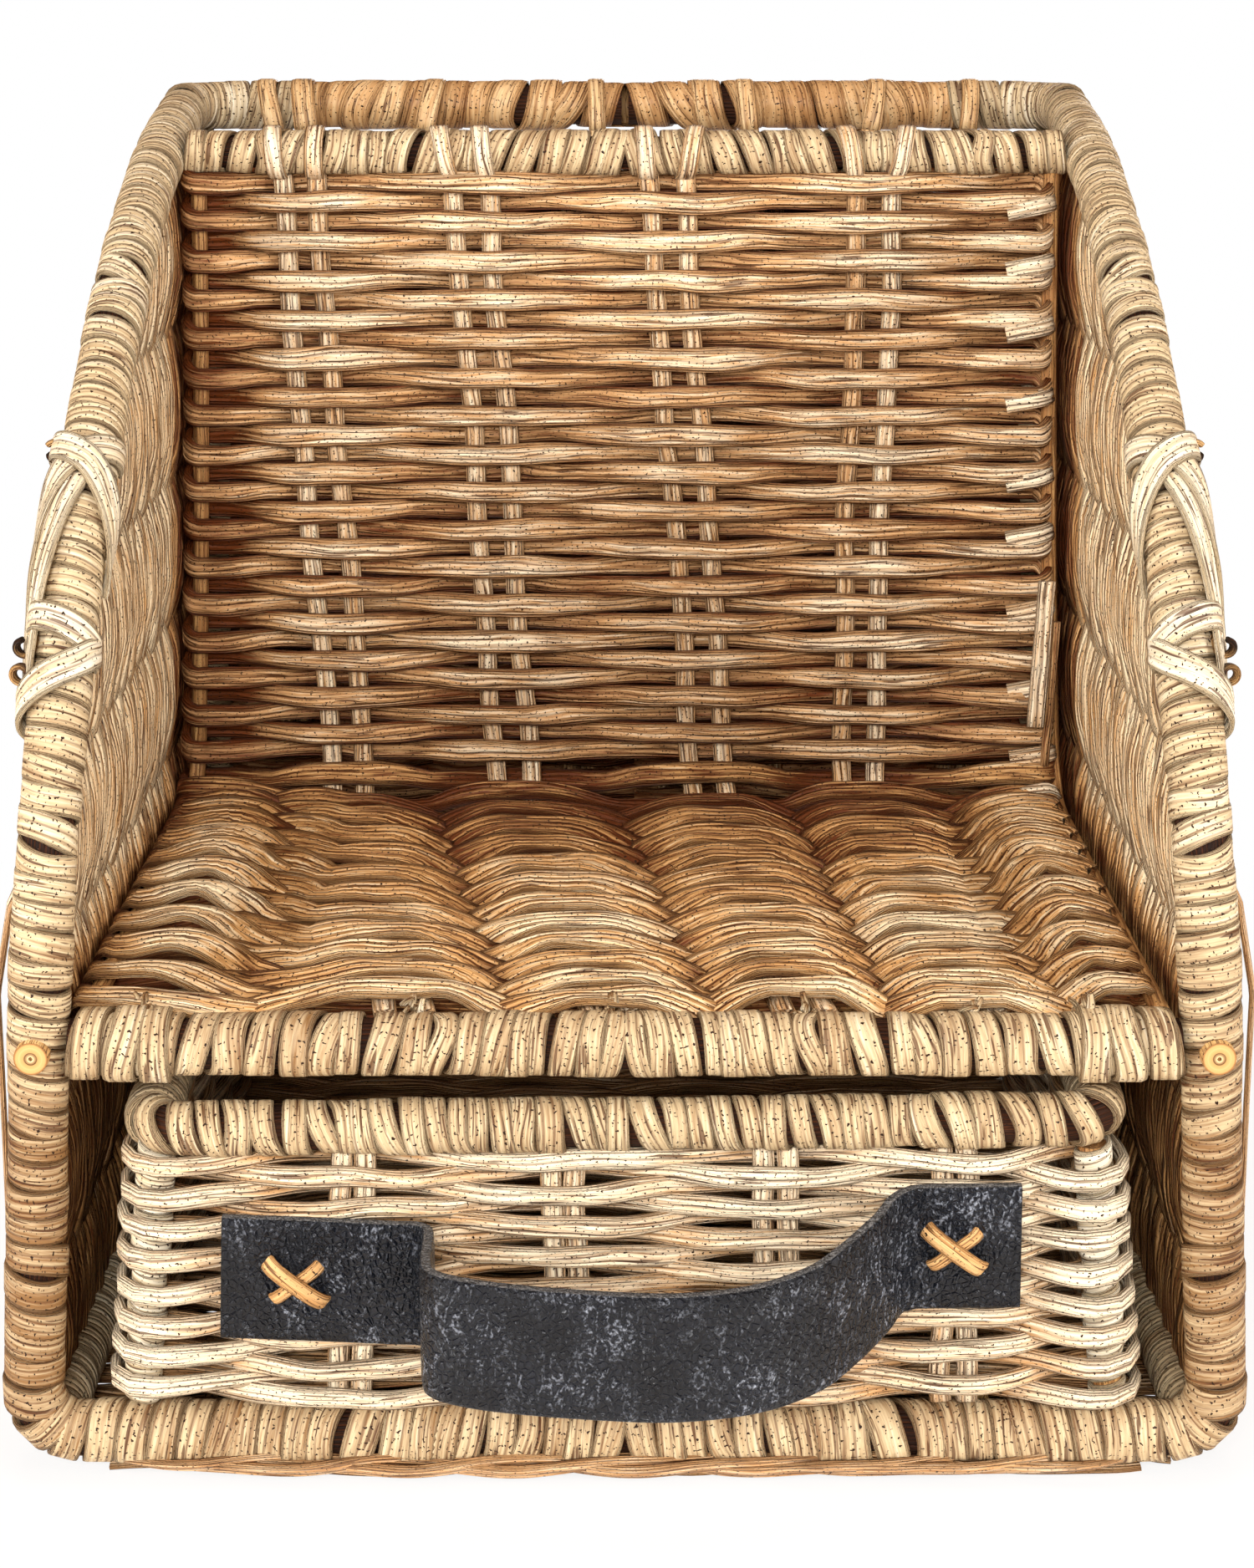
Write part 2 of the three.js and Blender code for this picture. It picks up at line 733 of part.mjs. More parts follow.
// Hidden bar between the side walls that carries the back of the shelf
const shelfBarRise = shelfLevel - insertWeaveHalf - seat - shelfBarRadius;
const shelfBarEnd = frameHalf(shelfBarRise) - shelfSideClear;
const shelfBarRun = insertRun - shelfBarSetback;
addPiece('shelf_rear_bar', cane(straightCurve(
  new THREE.Vector3(-shelfBarEnd, shelfBarRun, shelfBarRise),
  new THREE.Vector3(shelfBarEnd, shelfBarRun, shelfBarRise),
), shelfBarRadius, { step: 130 }), bareCaneMaterial);

// Drawer: woven walls between four corner stakes, under a wrapped rim
const drawerFoot = Math.max(caneRadius, runnerRadius) + drawerLift;
const shelfLashUnderside = shelfRise - shelfRailRadius - seat - lashWall;
const drawerRimRise = shelfLashUnderside - drawerTopGap - drawerRimRadius;
// The rim's flat underside, which the walls and stakes meet
const drawerRimUnderside = drawerRimRadius * Math.cos(Math.PI / drawerRimSides);
const drawerWallTop = drawerRimRise - drawerRimUnderside - seat;
const drawerDepth = rearPostRun - backWeaveHalf - drawerRearGap - drawerRimRadius;
const drawerTopHalf = frameHalf(drawerRimRise) - caneRadius - drawerRimSideGap - drawerRimRadius;
const drawerFootHalf = frameHalf(drawerFoot) - caneRadius - drawerFootSideGap - cornerStakeRadius;
const runnerX = drawerFootHalf - runnerInset;
addPair('drawer_runner', cane(straightCurve(
  new THREE.Vector3(runnerX, restRise, 0),
  new THREE.Vector3(runnerX, frameDepth - restRise, 0),
), runnerRadius, { step: 110 }), bareCaneMaterial);

function drawerHalf(rise) {
  const share = (rise - drawerFoot) / (drawerWallTop - drawerFoot);
  return drawerFootHalf + (drawerTopHalf - drawerFootHalf) * share;
}

function drawerRimCurve() {
  const points = [];
  const turns = 3;
  const corners = [
    { x: drawerTopHalf, y: 0, from: -Math.PI / 2 },
    { x: drawerTopHalf, y: drawerDepth, from: 0 },
    { x: -drawerTopHalf, y: drawerDepth, from: Math.PI / 2 },
    { x: -drawerTopHalf, y: 0, from: Math.PI },
  ];
  corners.forEach(({ x, y, from }, index) => {
    const centreX = x - Math.sign(x) * drawerRimCorner;
    const centreY = y + (y > 0 ? -drawerRimCorner : drawerRimCorner);
    for (let k = 0; k <= turns; k += 1) {
      const angle = from + (k / turns) * Math.PI / 2;
      points.push(new THREE.Vector3(
        centreX + drawerRimCorner * Math.cos(angle),
        centreY + drawerRimCorner * Math.sin(angle),
        drawerRimRise,
      ));
    }
    const along = index % 2 === 0;
    points.push(new THREE.Vector3(along ? x : 0, along ? drawerDepth / 2 : y, drawerRimRise));
  });
  return smoothCurve(points, true);
}

addPiece('drawer_rim', cane(drawerRimCurve(), drawerRimRadius, {
  sides: drawerRimSides, wrapPitch: drawerWrapPitch, closed: true,
}), caneMaterial);

for (const [name, run] of [['front', 0], ['back', drawerDepth]]) {
  const stake = cane(straightCurve(
    new THREE.Vector3(drawerHalf(drawerFoot), run, drawerFoot),
    new THREE.Vector3(drawerHalf(drawerWallTop), run, drawerWallTop),
  ), cornerStakeRadius, { step: 40 });
  addPair(`drawer_stake_${name}`, stake, weaveMaterial);
}

const stakeReach = cornerStakeRadius + seat;

function drawerEndWeave(run) {
  const columns = evenColumns(2 * drawerFootHalf, drawerStakePitch);
  const middle = (u, v) => {
    const rise = drawerFoot + (drawerWallTop - drawerFoot) * v;
    return new THREE.Vector3((drawerHalf(rise) - stakeReach) * (2 * u - 1), run, rise);
  };
  return wovenSheet(columns, 3, middle, outwardY, stakeWave(drawerWeaveHalf, columns));
}

function drawerSideWeave() {
  const columns = evenColumns(drawerDepth, drawerStakePitch);
  const middle = (u, v) => {
    const rise = drawerFoot + (drawerWallTop - drawerFoot) * v;
    return new THREE.Vector3(drawerHalf(rise), stakeReach + (drawerDepth - 2 * stakeReach) * u, rise);
  };
  return wovenSheet(columns, 3, middle, outwardX, stakeWave(drawerWeaveHalf, columns));
}

addPiece('drawer_front', drawerEndWeave(0), weaveMaterial);
addPiece('drawer_back', drawerEndWeave(drawerDepth), weaveMaterial);
addPair('drawer_side', drawerSideWeave(), weaveMaterial);

function drawerFloor() {
  const inner = drawerWeaveHalf + seat;
  const half = drawerHalf(drawerFoot + drawerFloorThickness) - inner;
  const slab = new THREE.BoxGeometry(2 * half, drawerDepth - 2 * inner, drawerFloorThickness);
  slab.translate(0, drawerDepth / 2, drawerFoot + drawerFloorThickness / 2);
  return cutAway(slab, ...[-1, 1].flatMap((side) => [0, drawerDepth].map((run) => cane(straightCurve(
    new THREE.Vector3(side * drawerHalf(drawerFoot), run, drawerFoot - 1),
    new THREE.Vector3(side * drawerHalf(drawerFoot), run, drawerFoot + drawerFloorThickness + 1),
  ), cornerStakeRadius + 2 * seat, { step: 40 }))));
}

addPiece('drawer_floor', drawerFloor(), weaveMaterial);

// Strap handle: two tabs flat on the drawer front, and a loop that stands off it
const strapFace = -(drawerWeaveHalf + seat + strapThickness / 2);
const strapRise = drawerFoot + strapLift;
const strapLeftEnd = drawerHalf(strapRise) - strapLeftInset;
const strapRightEnd = drawerHalf(strapRise) - strapRightInset;
const strapFold = strapLeftEnd * strapFoldShare;
const strapLanding = strapRightEnd * strapLandingShare;
// Places along the strap: distance across, share of the stand-off, and height over its low middle
const strapRoute = [
  [-strapLeftEnd, 0, strapSag],
  [-strapFold * 1.53, 0, strapSag * 0.7],
  [-strapFold * 1.13, 0, strapSag / 3],
  [-strapFold * 1.03, 0.05, strapSag / 3],
  [-strapFold * 0.99, 0.2, strapSag / 2],
  [-strapFold * 0.96, 0.4, strapSag * 0.7],
  [-strapFold * 0.915, 0.66, strapSag],
  [-strapFold * 0.81, 0.87, strapSag],
  [-strapFold * 0.55, 0.96, strapSag / 2],
  [-strapFold * 0.15, 1, 0],
  [strapLanding * 0.17, 1, -strapSag / 4],
  [strapLanding * 0.42, 0.92, 0],
  [strapLanding * 0.62, 0.76, strapRightLift * 0.22],
  [strapLanding * 0.75, 0.55, strapRightLift * 0.5],
  [strapLanding * 0.86, 0.3, strapRightLift * 0.8],
  [strapLanding * 0.93, 0.1, strapRightLift],
  [strapLanding * 0.98, 0.02, strapRightLift * 1.04],
  [strapLanding * 1.03, 0, strapRightLift * 1.06],
  [strapLanding * 1.14, 0, strapRightLift * 1.07],
  [strapRightEnd, 0, strapRightLift * 1.1],
];
const strapCurve = smoothCurve(strapRoute.map(([x, share, lift]) => new THREE.Vector3(
  x, strapFace - strapStandOff * share, strapRise + lift,
)));

function strap() {
  const steps = 64;
  const rings = [];
  for (let j = 0; j <= steps; j += 1) {
    const centre = strapCurve.getPointAt(j / steps);
    const tangent = strapCurve.getTangentAt(j / steps);
    const up = new THREE.Vector3(0, 0, 1).addScaledVector(tangent, -tangent.z).normalize();
    const thick = tangent.clone().cross(up);
    const corner = (a, b) => centre.clone()
      .addScaledVector(up, (a * strapWidth) / 2)
      .addScaledVector(thick, (b * strapThickness) / 2);
    rings.push([corner(-1, -1), corner(1, -1), corner(1, 1), corner(-1, 1)]);
  }
  return loft(rings);
}

// One strip of a tie: out through the leather, slantwise across its face, and in again
function tieStrip(x, rise, slope, hump) {
  const footY = -(drawerWeaveHalf + 2 * seat);
  const faceY = strapFace - strapThickness / 2 - seat - tieThickness / 2 - hump;
  const dx = tieReach;
  const dz = tieSpread * slope;
  const along = new THREE.Vector3(dx, 0, dz).normalize();
  const side = new THREE.Vector3(-along.z, 0, along.x).multiplyScalar(tieWidth / 2);
  const stations = [
    { at: -1, y: footY, lean: [-1, 0] },
    { at: -1, y: faceY, lean: [-Math.SQRT1_2, -Math.SQRT1_2] },
    { at: 1, y: faceY, lean: [Math.SQRT1_2, -Math.SQRT1_2] },
    { at: 1, y: footY, lean: [1, 0] },
  ];
  const rings = stations.map(({ at, y, lean }) => {
    const centre = new THREE.Vector3(x + dx * at, y, rise + dz * at);
    const stretch = lean[1] === 0 ? 1 : Math.SQRT2;
    const thick = along.clone().multiplyScalar(lean[0]).add(new THREE.Vector3(0, lean[1], 0))
      .multiplyScalar((stretch * tieThickness) / 2);
    return [
      centre.clone().add(side).add(thick),
      centre.clone().sub(side).add(thick),
      centre.clone().sub(side).sub(thick),
      centre.clone().add(side).sub(thick),
    ];
  });
  return loft(rings);
}

function crossTie(x, rise) {
  const under = toSolid(tieStrip(x, rise, 1, 0));
  const over = toSolid(tieStrip(x, rise, -1, tieThickness * 0.6));
  return fromSolid(under.add(over));
}

function tieHoles(x, rise) {
  const holes = [];
  for (const [sideways, upward] of [[-1, -1], [-1, 1], [1, -1], [1, 1]]) {
    const hole = new THREE.BoxGeometry(tieHoleSize, strapThickness * 4, tieHoleSize);
    hole.rotateY(sideways * upward * -Math.atan2(tieSpread, tieReach));
    hole.translate(x + sideways * tieReach, strapFace, rise + upward * tieSpread);
    holes.push(hole);
  }
  return holes;
}

const ties = [
  { name: 'strap_tie_left', x: tieLeftInset - strapLeftEnd, rise: strapRise + strapSag * 0.7 },
  { name: 'strap_tie_right', x: strapRightEnd - tieRightInset, rise: strapRise + strapRightLift * 1.08 },
];
addPiece('leather_strap', cutAway(strap(), ...ties.flatMap(({ x, rise }) => tieHoles(x, rise))),
  leatherMaterial);
for (const { name, x, rise } of ties) {
  addPiece(name, crossTie(x, rise), tieMaterial);
}

// The basket stands on its bottom weave, with its middle over the origin
const bounds = new THREE.Box3().setFromObject(basket);
basket.position.set(0, -(bounds.min.y + bounds.max.y) / 2, -bounds.min.z);

export default basket;
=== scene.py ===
import math

import bpy
import numpy as np
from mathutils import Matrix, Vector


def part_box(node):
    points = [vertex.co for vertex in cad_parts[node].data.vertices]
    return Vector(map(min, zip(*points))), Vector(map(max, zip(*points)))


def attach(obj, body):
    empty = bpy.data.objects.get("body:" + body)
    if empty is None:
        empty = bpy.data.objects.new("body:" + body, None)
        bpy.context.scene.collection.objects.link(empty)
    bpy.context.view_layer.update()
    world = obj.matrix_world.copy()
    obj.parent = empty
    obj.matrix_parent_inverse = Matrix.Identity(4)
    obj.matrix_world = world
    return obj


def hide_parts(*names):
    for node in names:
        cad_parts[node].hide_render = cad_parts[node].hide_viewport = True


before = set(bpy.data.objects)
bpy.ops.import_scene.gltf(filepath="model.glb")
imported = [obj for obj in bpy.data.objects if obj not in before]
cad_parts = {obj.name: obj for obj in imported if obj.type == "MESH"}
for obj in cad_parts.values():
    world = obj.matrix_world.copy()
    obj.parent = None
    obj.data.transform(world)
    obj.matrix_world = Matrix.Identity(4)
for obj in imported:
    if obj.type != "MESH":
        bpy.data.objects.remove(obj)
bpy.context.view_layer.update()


# Camera: a little above the basket and straight in front of it, as the photograph was taken.
# The lens is worked out from how the drawer's and the back rail's widths compare.
def add_object(name, data):
    """An object that holds the data, linked into the scene."""
    made = bpy.data.objects.new(name, data)
    bpy.context.scene.collection.objects.link(made)
    return made


camera_dip = 12.45
camera_data = bpy.data.cameras.new("photo_camera")
camera_data.lens = 61.4
camera_data.sensor_width = 36.0
camera_data.shift_x = 0.0013
camera_data.shift_y = -0.15
camera = add_object("photo_camera", camera_data)
camera.location = (0.0, -0.6631, 0.3483)
camera.rotation_euler = (math.radians(90 - camera_dip), 0.0, 0.0)
bpy.context.scene.camera = camera
bpy.context.scene.view_settings.view_transform = "Standard"


# Floor and light: a white paper floor and white surroundings, a broad soft box above the front
# and weaker ones from the sides and the back. The camera sees white paper with its shadow.
def linear(code):
    """An sRGB hex colour as the linear red, green, blue and alpha that a shader takes."""
    parts = [int(code[k : k + 2], 16) / 255 for k in (0, 2, 4)]
    return [p / 12.92 if p <= 0.04045 else ((p + 0.055) / 1.055) ** 2.4 for p in parts] + [1.0]


def add_node(tree, kind, settings=None, inputs=None, stops=None):
    """Adds one node, with its settings, its inputs as values or links, and a ramp's stops."""
    node = tree.nodes.new(kind)
    for key, value in (settings or {}).items():
        setattr(node, key, value)
    for key, value in (inputs or {}).items():
        if isinstance(value, bpy.types.NodeSocket):
            tree.links.new(value, node.inputs[key])
        else:
            node.inputs[key].default_value = value
    for k, (place, colour) in enumerate(stops or []):
        elements = node.color_ramp.elements
        element = elements[k] if k < len(elements) else elements.new(place)
        element.position = place
        element.color = colour
    return node


def empty_material(name):
    """A new material and its node tree, with nothing in it."""
    material = bpy.data.materials.new(name)
    material.use_nodes = True
    material.node_tree.nodes.clear()
    return material, material.node_tree


def step_up(tree, value, low, high, bottom=0.0):
    """Goes smoothly from the bottom to one while the value goes from low to high."""
    limits = {"Value": value, "From Min": low, "From Max": high, "To Min": bottom}
    return add_node(tree, "ShaderNodeMapRange", {"interpolation_type": "SMOOTHSTEP"}, limits).outputs[0]


def calculate(tree, operation, *values):
    """One arithmetic node on values or links."""
    inputs = dict(enumerate(values))
    return add_node(tree, "ShaderNodeMath", {"operation": operation}, inputs).outputs[0]


def mix_colours(tree, share, first, second):
    """The share of the second colour over the first."""
    inputs = {"Factor": share, "A": first, "B": second}
    return add_node(tree, "ShaderNodeMix", {"data_type": "RGBA"}, inputs).outputs["Result"]


def mix_output(tree, kind, share, first, second):
    """Ends a tree with the share of the second shader over the first."""
    inputs = {0: share, 1: first.outputs[0], 2: second.outputs[0]}
    mixed = add_node(tree, "ShaderNodeMixShader", inputs=inputs)
    add_node(tree, kind, inputs={"Surface": mixed.outputs[0]})


paper, tree = empty_material("matt_white_paper")
place = add_node(tree, "ShaderNodeNewGeometry").outputs["Position"]
away = add_node(tree, "ShaderNodeVectorMath", {"operation": "LENGTH"}, {0: place}).outputs["Value"]
camera_ray = add_node(tree, "ShaderNodeLightPath").outputs["Is Camera Ray"]
share = calculate(tree, "MULTIPLY", camera_ray, step_up(tree, away, 0.15, 0.42, bottom=0.8))
matt = add_node(tree, "ShaderNodeBsdfDiffuse", inputs={"Color": linear("f4f2ee")})
glow = add_node(tree, "ShaderNodeEmission", inputs={"Color": (1, 1, 1, 1), "Strength": 1.0})
mix_output(tree, "ShaderNodeOutputMaterial", share, matt, glow)
floor_mesh = bpy.data.meshes.new("paper_floor")
floor_mesh.from_pydata([(-4, -3, 0), (4, -3, 0), (4, 5, 0), (-4, 5, 0)], [], [(0, 1, 2, 3)])
floor_mesh.materials.append(paper)
floor = add_object("paper_floor", floor_mesh)

world = bpy.data.worlds.new("white_room")
bpy.context.scene.world = world
world.use_nodes = True
tree = world.node_tree
tree.nodes.clear()
camera_ray = add_node(tree, "ShaderNodeLightPath").outputs["Is Camera Ray"]
room = add_node(tree, "ShaderNodeBackground", inputs={"Color": linear("eca870"), "Strength": 0.28})
white = add_node(tree, "ShaderNodeBackground", inputs={"Color": (1, 1, 1, 1), "Strength": 1.0})
mix_output(tree, "ShaderNodeOutputWorld", camera_ray, room, white)


def soft_box(name, place, target, width, height, watts):
    """A rectangular lamp at a place in metres, turned so that it shines at the target."""
    data = bpy.data.lights.new(name, "AREA")
    data.shape = "RECTANGLE"
    data.size = width
    data.size_y = height
    data.energy = watts
    lamp = add_object(name, data)
    lamp.location = place
    aim = Vector(target) - Vector(place)
    lamp.rotation_euler = aim.to_track_quat("-Z", "Y").to_euler()


soft_box("front_soft_box", (-0.15, -1.3, 0.72), (0, 0, 0.12), 0.6, 0.35, 18)
soft_box("top_soft_box", (0.0, -0.35, 1.45), (0, 0.0, 0.15), 0.7, 0.5, 5)
soft_box("left_soft_box", (-1.2, -0.75, 0.45), (0.1, 0, 0.15), 0.5, 0.6, 16)
soft_box("back_soft_box", (0.3, 1.5, 0.4), (0, 0.1, 0.15), 0.8, 0.5, 9)
soft_box("right_soft_box", (1.2, -0.75, 0.45), (-0.1, 0, 0.15), 0.5, 0.6, 16)


# Front hoop and top rim: round canes, bent to the basket's outline and wound from end to end
# with flat strips of split rattan about 7 mm wide. Both halves are wound as mirror images.
# Places are in millimetres from the middle of the base front: x, run to the back, and rise.
shelf_rail_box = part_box("shelf_front_rail")
front_run = (shelf_rail_box[0].y + shelf_rail_box[1].y) * 500
shelf_rise = 96.5
stand_rise = (shelf_rail_box[0].z + shelf_rail_box[1].z) * 500 - shelf_rise
frame_depth = 225.0
back_rail_rise = 294.5
base_half_width = 138.5
top_half_width = 126.0
cane_radius = 7.0
corner_radius = 12.0
back_corner_radius = 20.0
joint_rise = 216.0
lower_lashing_rise = 176.0
rod_front_run = -8.5
to_right, to_back, to_top = np.eye(3)


def points(x, run, rise):
    """Places from their three measures, numbers or arrays that broadcast together."""
    return np.stack(np.broadcast_arrays(x, run, rise), -1)


def column(values):
    """One value for each row of strips, as a column."""
    return np.reshape(values, (-1, 1))


def frame_half(rise):
    """Half width of the frame at a height: widest at the base, drawing in quickly, then slowly."""
    left = 1 - np.clip(np.asarray(rise, float) / back_rail_rise, 0, 1)
    return top_half_width + (base_half_width - top_half_width) * left**1.6


def rim_profile(angle):
    """Run and rise on a quarter of a full-bodied oval, from the post up to the back rail."""
    power = 2 / 1.8
    run = frame_depth * (1 - np.abs(np.cos(angle)) ** power)
    rise = shelf_rise + (back_rail_rise - shelf_rise) * np.abs(np.sin(angle)) ** power
    return run, rise


def running_length(line):
    """The length along a line of points, at each of them."""
    gaps = np.linalg.norm(np.diff(line, axis=0), axis=1)
    return np.concatenate([[0], np.cumsum(gaps)])


def sampled(places, marks, rows):
    """Rows of three numbers, interpolated at places between the marks."""
    return np.stack([np.interp(places, marks, rows[:, k]) for k in range(3)], 1)


def even(line, step):
    """Points at even steps along a line of closely set points, by its running length."""
    length = running_length(line)
    places = np.linspace(0, length[-1], max(2, int(round(length[-1] / step)) + 1))
    return sampled(places, length, line)


def back_corner(half, turn, rise):
    """The quarter turn from a side into the back, at angles along it."""
    inset = back_corner_radius * (1 - np.cos(turn))
    return points(half - inset, frame_depth - back_corner_radius * (1 - np.sin(turn)), rise)


def frame_line():
    """The cane's middle line from the middle of the base front: out, round the corner, up the
    side, over the bend and round the back corner to the middle of the back rail."""
    foot = points(np.linspace(0, base_half_width - corner_radius, 60), 0, 0)
    turn = np.linspace(0.05, math.pi / 2, 24)
    rise = corner_radius * (1 - np.cos(turn))
    corner_x = base_half_width - corner_radius + corner_radius * np.sin(turn)
    corner = points(corner_x - base_half_width + frame_half(rise), 0, rise)
    rise = np.linspace(corner_radius + 1, shelf_rise, 60)
    post = points(frame_half(rise), 0, rise)
    stop = math.acos((back_corner_radius / frame_depth) ** 0.9)
    run, rise = rim_profile(np.linspace(0.004, stop, 300))
    bend = points(frame_half(rise), run, rise)
    back = back_corner(top_half_width, np.linspace(0.1, math.pi / 2, 20), back_rail_rise)
    across = np.linspace(top_half_width - back_corner_radius - 2, 0, 50)
    rail = points(across, frame_depth, back_rail_rise)
    return even(np.concatenate([foot, corner, post, bend, back, rail]), 1.0)


def directions(line, hint):
    """Unit tangents, and the hint made square to them, along the last-but-one axis."""
    tangent = np.gradient(line, axis=-2)
    tangent /= np.linalg.norm(tangent, axis=-1, keepdims=True)
    out = hint - (hint * tangent).sum(-1, keepdims=True) * tangent
    out /= np.linalg.norm(out, axis=-1, keepdims=True)
    return tangent, out


def drift(runs, along, wave, reach, rng):
    """Smooth random drift: three sine waves of random phase, near the given wave length."""
    total = 0.0
    for share in (1.0, 0.62, 0.38):
        length = wave * share * rng.uniform(0.8, 1.25, (runs, 1))
        phase = rng.uniform(0, 6.28, (runs, 1))
        total = total + share * np.sin(along * 2 * math.pi / length + phase)
    return total * reach / 1.3


def carried(piece, body, slot, *nodes):
    """Makes a piece ride on its body and stand for its CAD nodes; the slot is not used."""
    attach(piece, body)
    if nodes:
        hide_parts(*nodes)


def strands(name, slot, line, hint, width, thick, tone, finish, nodes=(), body="carcass", sides=8,
            flat=0.55, full=0.8, mirror=False, edge=0.28, under=0.0):
    """A mesh of strips. Each run of points carries an oval section whose two axes lie across the
    strip and along the hint, its cosine and sine raised to powers so that it flattens. Lengths
    in millimetres. The tone falls towards both edges of a strip, as painted shade between the
    strips, and by the share called under on its back, as painted shade there. With mirror, a
    second copy lies across the middle."""
    line = np.asarray(line, float)
    hint = np.broadcast_to(hint, line.shape)
    measures = [np.broadcast_to(v, line.shape[:2]) for v in (width, thick, tone, under)]
    if mirror:
        line, hint = [np.concatenate([v, v * [-1.0, 1.0, 1.0]]) for v in (line, hint)]
        measures = [np.concatenate([v, v]) for v in measures]
    width, thick, tone, under = measures
    runs = len(line)
    tangent, out = directions(line, hint)
    side = np.cross(out, tangent)
    turn = -math.pi / 2 + (np.arange(sides) + 0.5) * 2 * math.pi / sides
    across = np.sign(np.cos(turn)) * np.abs(np.cos(turn)) ** flat
    through = np.sign(np.sin(turn)) * np.abs(np.sin(turn)) ** full
    spread = side[:, :, None] * (width[:, :, None] * across / 2)[..., None]
    spread = spread + out[:, :, None] * (thick[:, :, None] * through / 2)[..., None]
    place = (line[:, :, None] + spread + [0, front_run, stand_rise]) / 1000
    number = np.arange(place.size // 3).reshape(place.shape[:3])
    here, ahead = number[:, :-1], number[:, 1:]
    skin = np.stack([here, np.roll(here, -1, 2), np.roll(ahead, -1, 2), ahead], -1).reshape(-1, 4)
    k = np.arange(sides // 2 - 1)
    cap = np.stack([k, k + 1, sides - 2 - k, sides - 1 - k], -1)
    first = number[:, 0][:, cap[:, ::-1]].reshape(-1, 4)
    last = number[:, -1][:, cap].reshape(-1, 4)
    faces = np.concatenate([skin, first, last])
    # The grain's two measures: round the strip, whose outline is some 1.7 times its width and
    # thickness together, and along it, each run from a random start
    gaps = np.linalg.norm(np.diff(line, axis=1), axis=2)
    along = np.concatenate([np.zeros((runs, 1)), np.cumsum(gaps, 1)], 1)
    start = np.random.default_rng(len(name) + runs).uniform(0, 900, (runs, 1))
    girth = 1.7 * (width.mean(1) + thick.mean(1))[:, None, None]
    v = np.broadcast_to((along + start)[:, :, None], number.shape)
    u = start[:, :, None] * 7.3 + girth * np.arange(sides) / sides + 0 * v
    near, far = np.stack([u, v], -1), np.stack([u + girth / sides, v], -1)
    grid = np.stack([near[:, :-1], far[:, :-1], far[:, 1:], near[:, 1:]], -2).reshape(-1, 2)
    flat_uv = near.reshape(-1, 2)
    grain = np.concatenate([grid, flat_uv[first.ravel()], flat_uv[last.ravel()]])
    mesh = bpy.data.meshes.new(name)
    mesh.vertices.add(place.size // 3)
    mesh.vertices.foreach_set("co", place.ravel())
    mesh.loops.add(faces.size)
    mesh.loops.foreach_set("vertex_index", faces.ravel())
    mesh.polygons.add(len(faces))
    mesh.polygons.foreach_set("loop_start", np.arange(len(faces)) * 4)
    mesh.update(calc_edges=True)
    mesh.polygons.foreach_set("use_smooth", np.arange(len(faces)) < len(skin))
    mesh.uv_layers.new(name="grain_mm").data.foreach_set("uv", grain.ravel())
    # Painted shade: darker towards the strip's edges and on its back
    shade = tone[:, :, None] - edge * np.cos(turn) ** 2
    shade = shade - under[:, :, None] * (0.5 - 0.5 * np.sin(turn))
    tones = mesh.attributes.new("tone", "FLOAT", "POINT")
    tones.data.foreach_set("value", shade.astype(np.float32).ravel())
    mesh.materials.append(finish)
    carried(add_object(name, mesh), body, slot, *nodes)


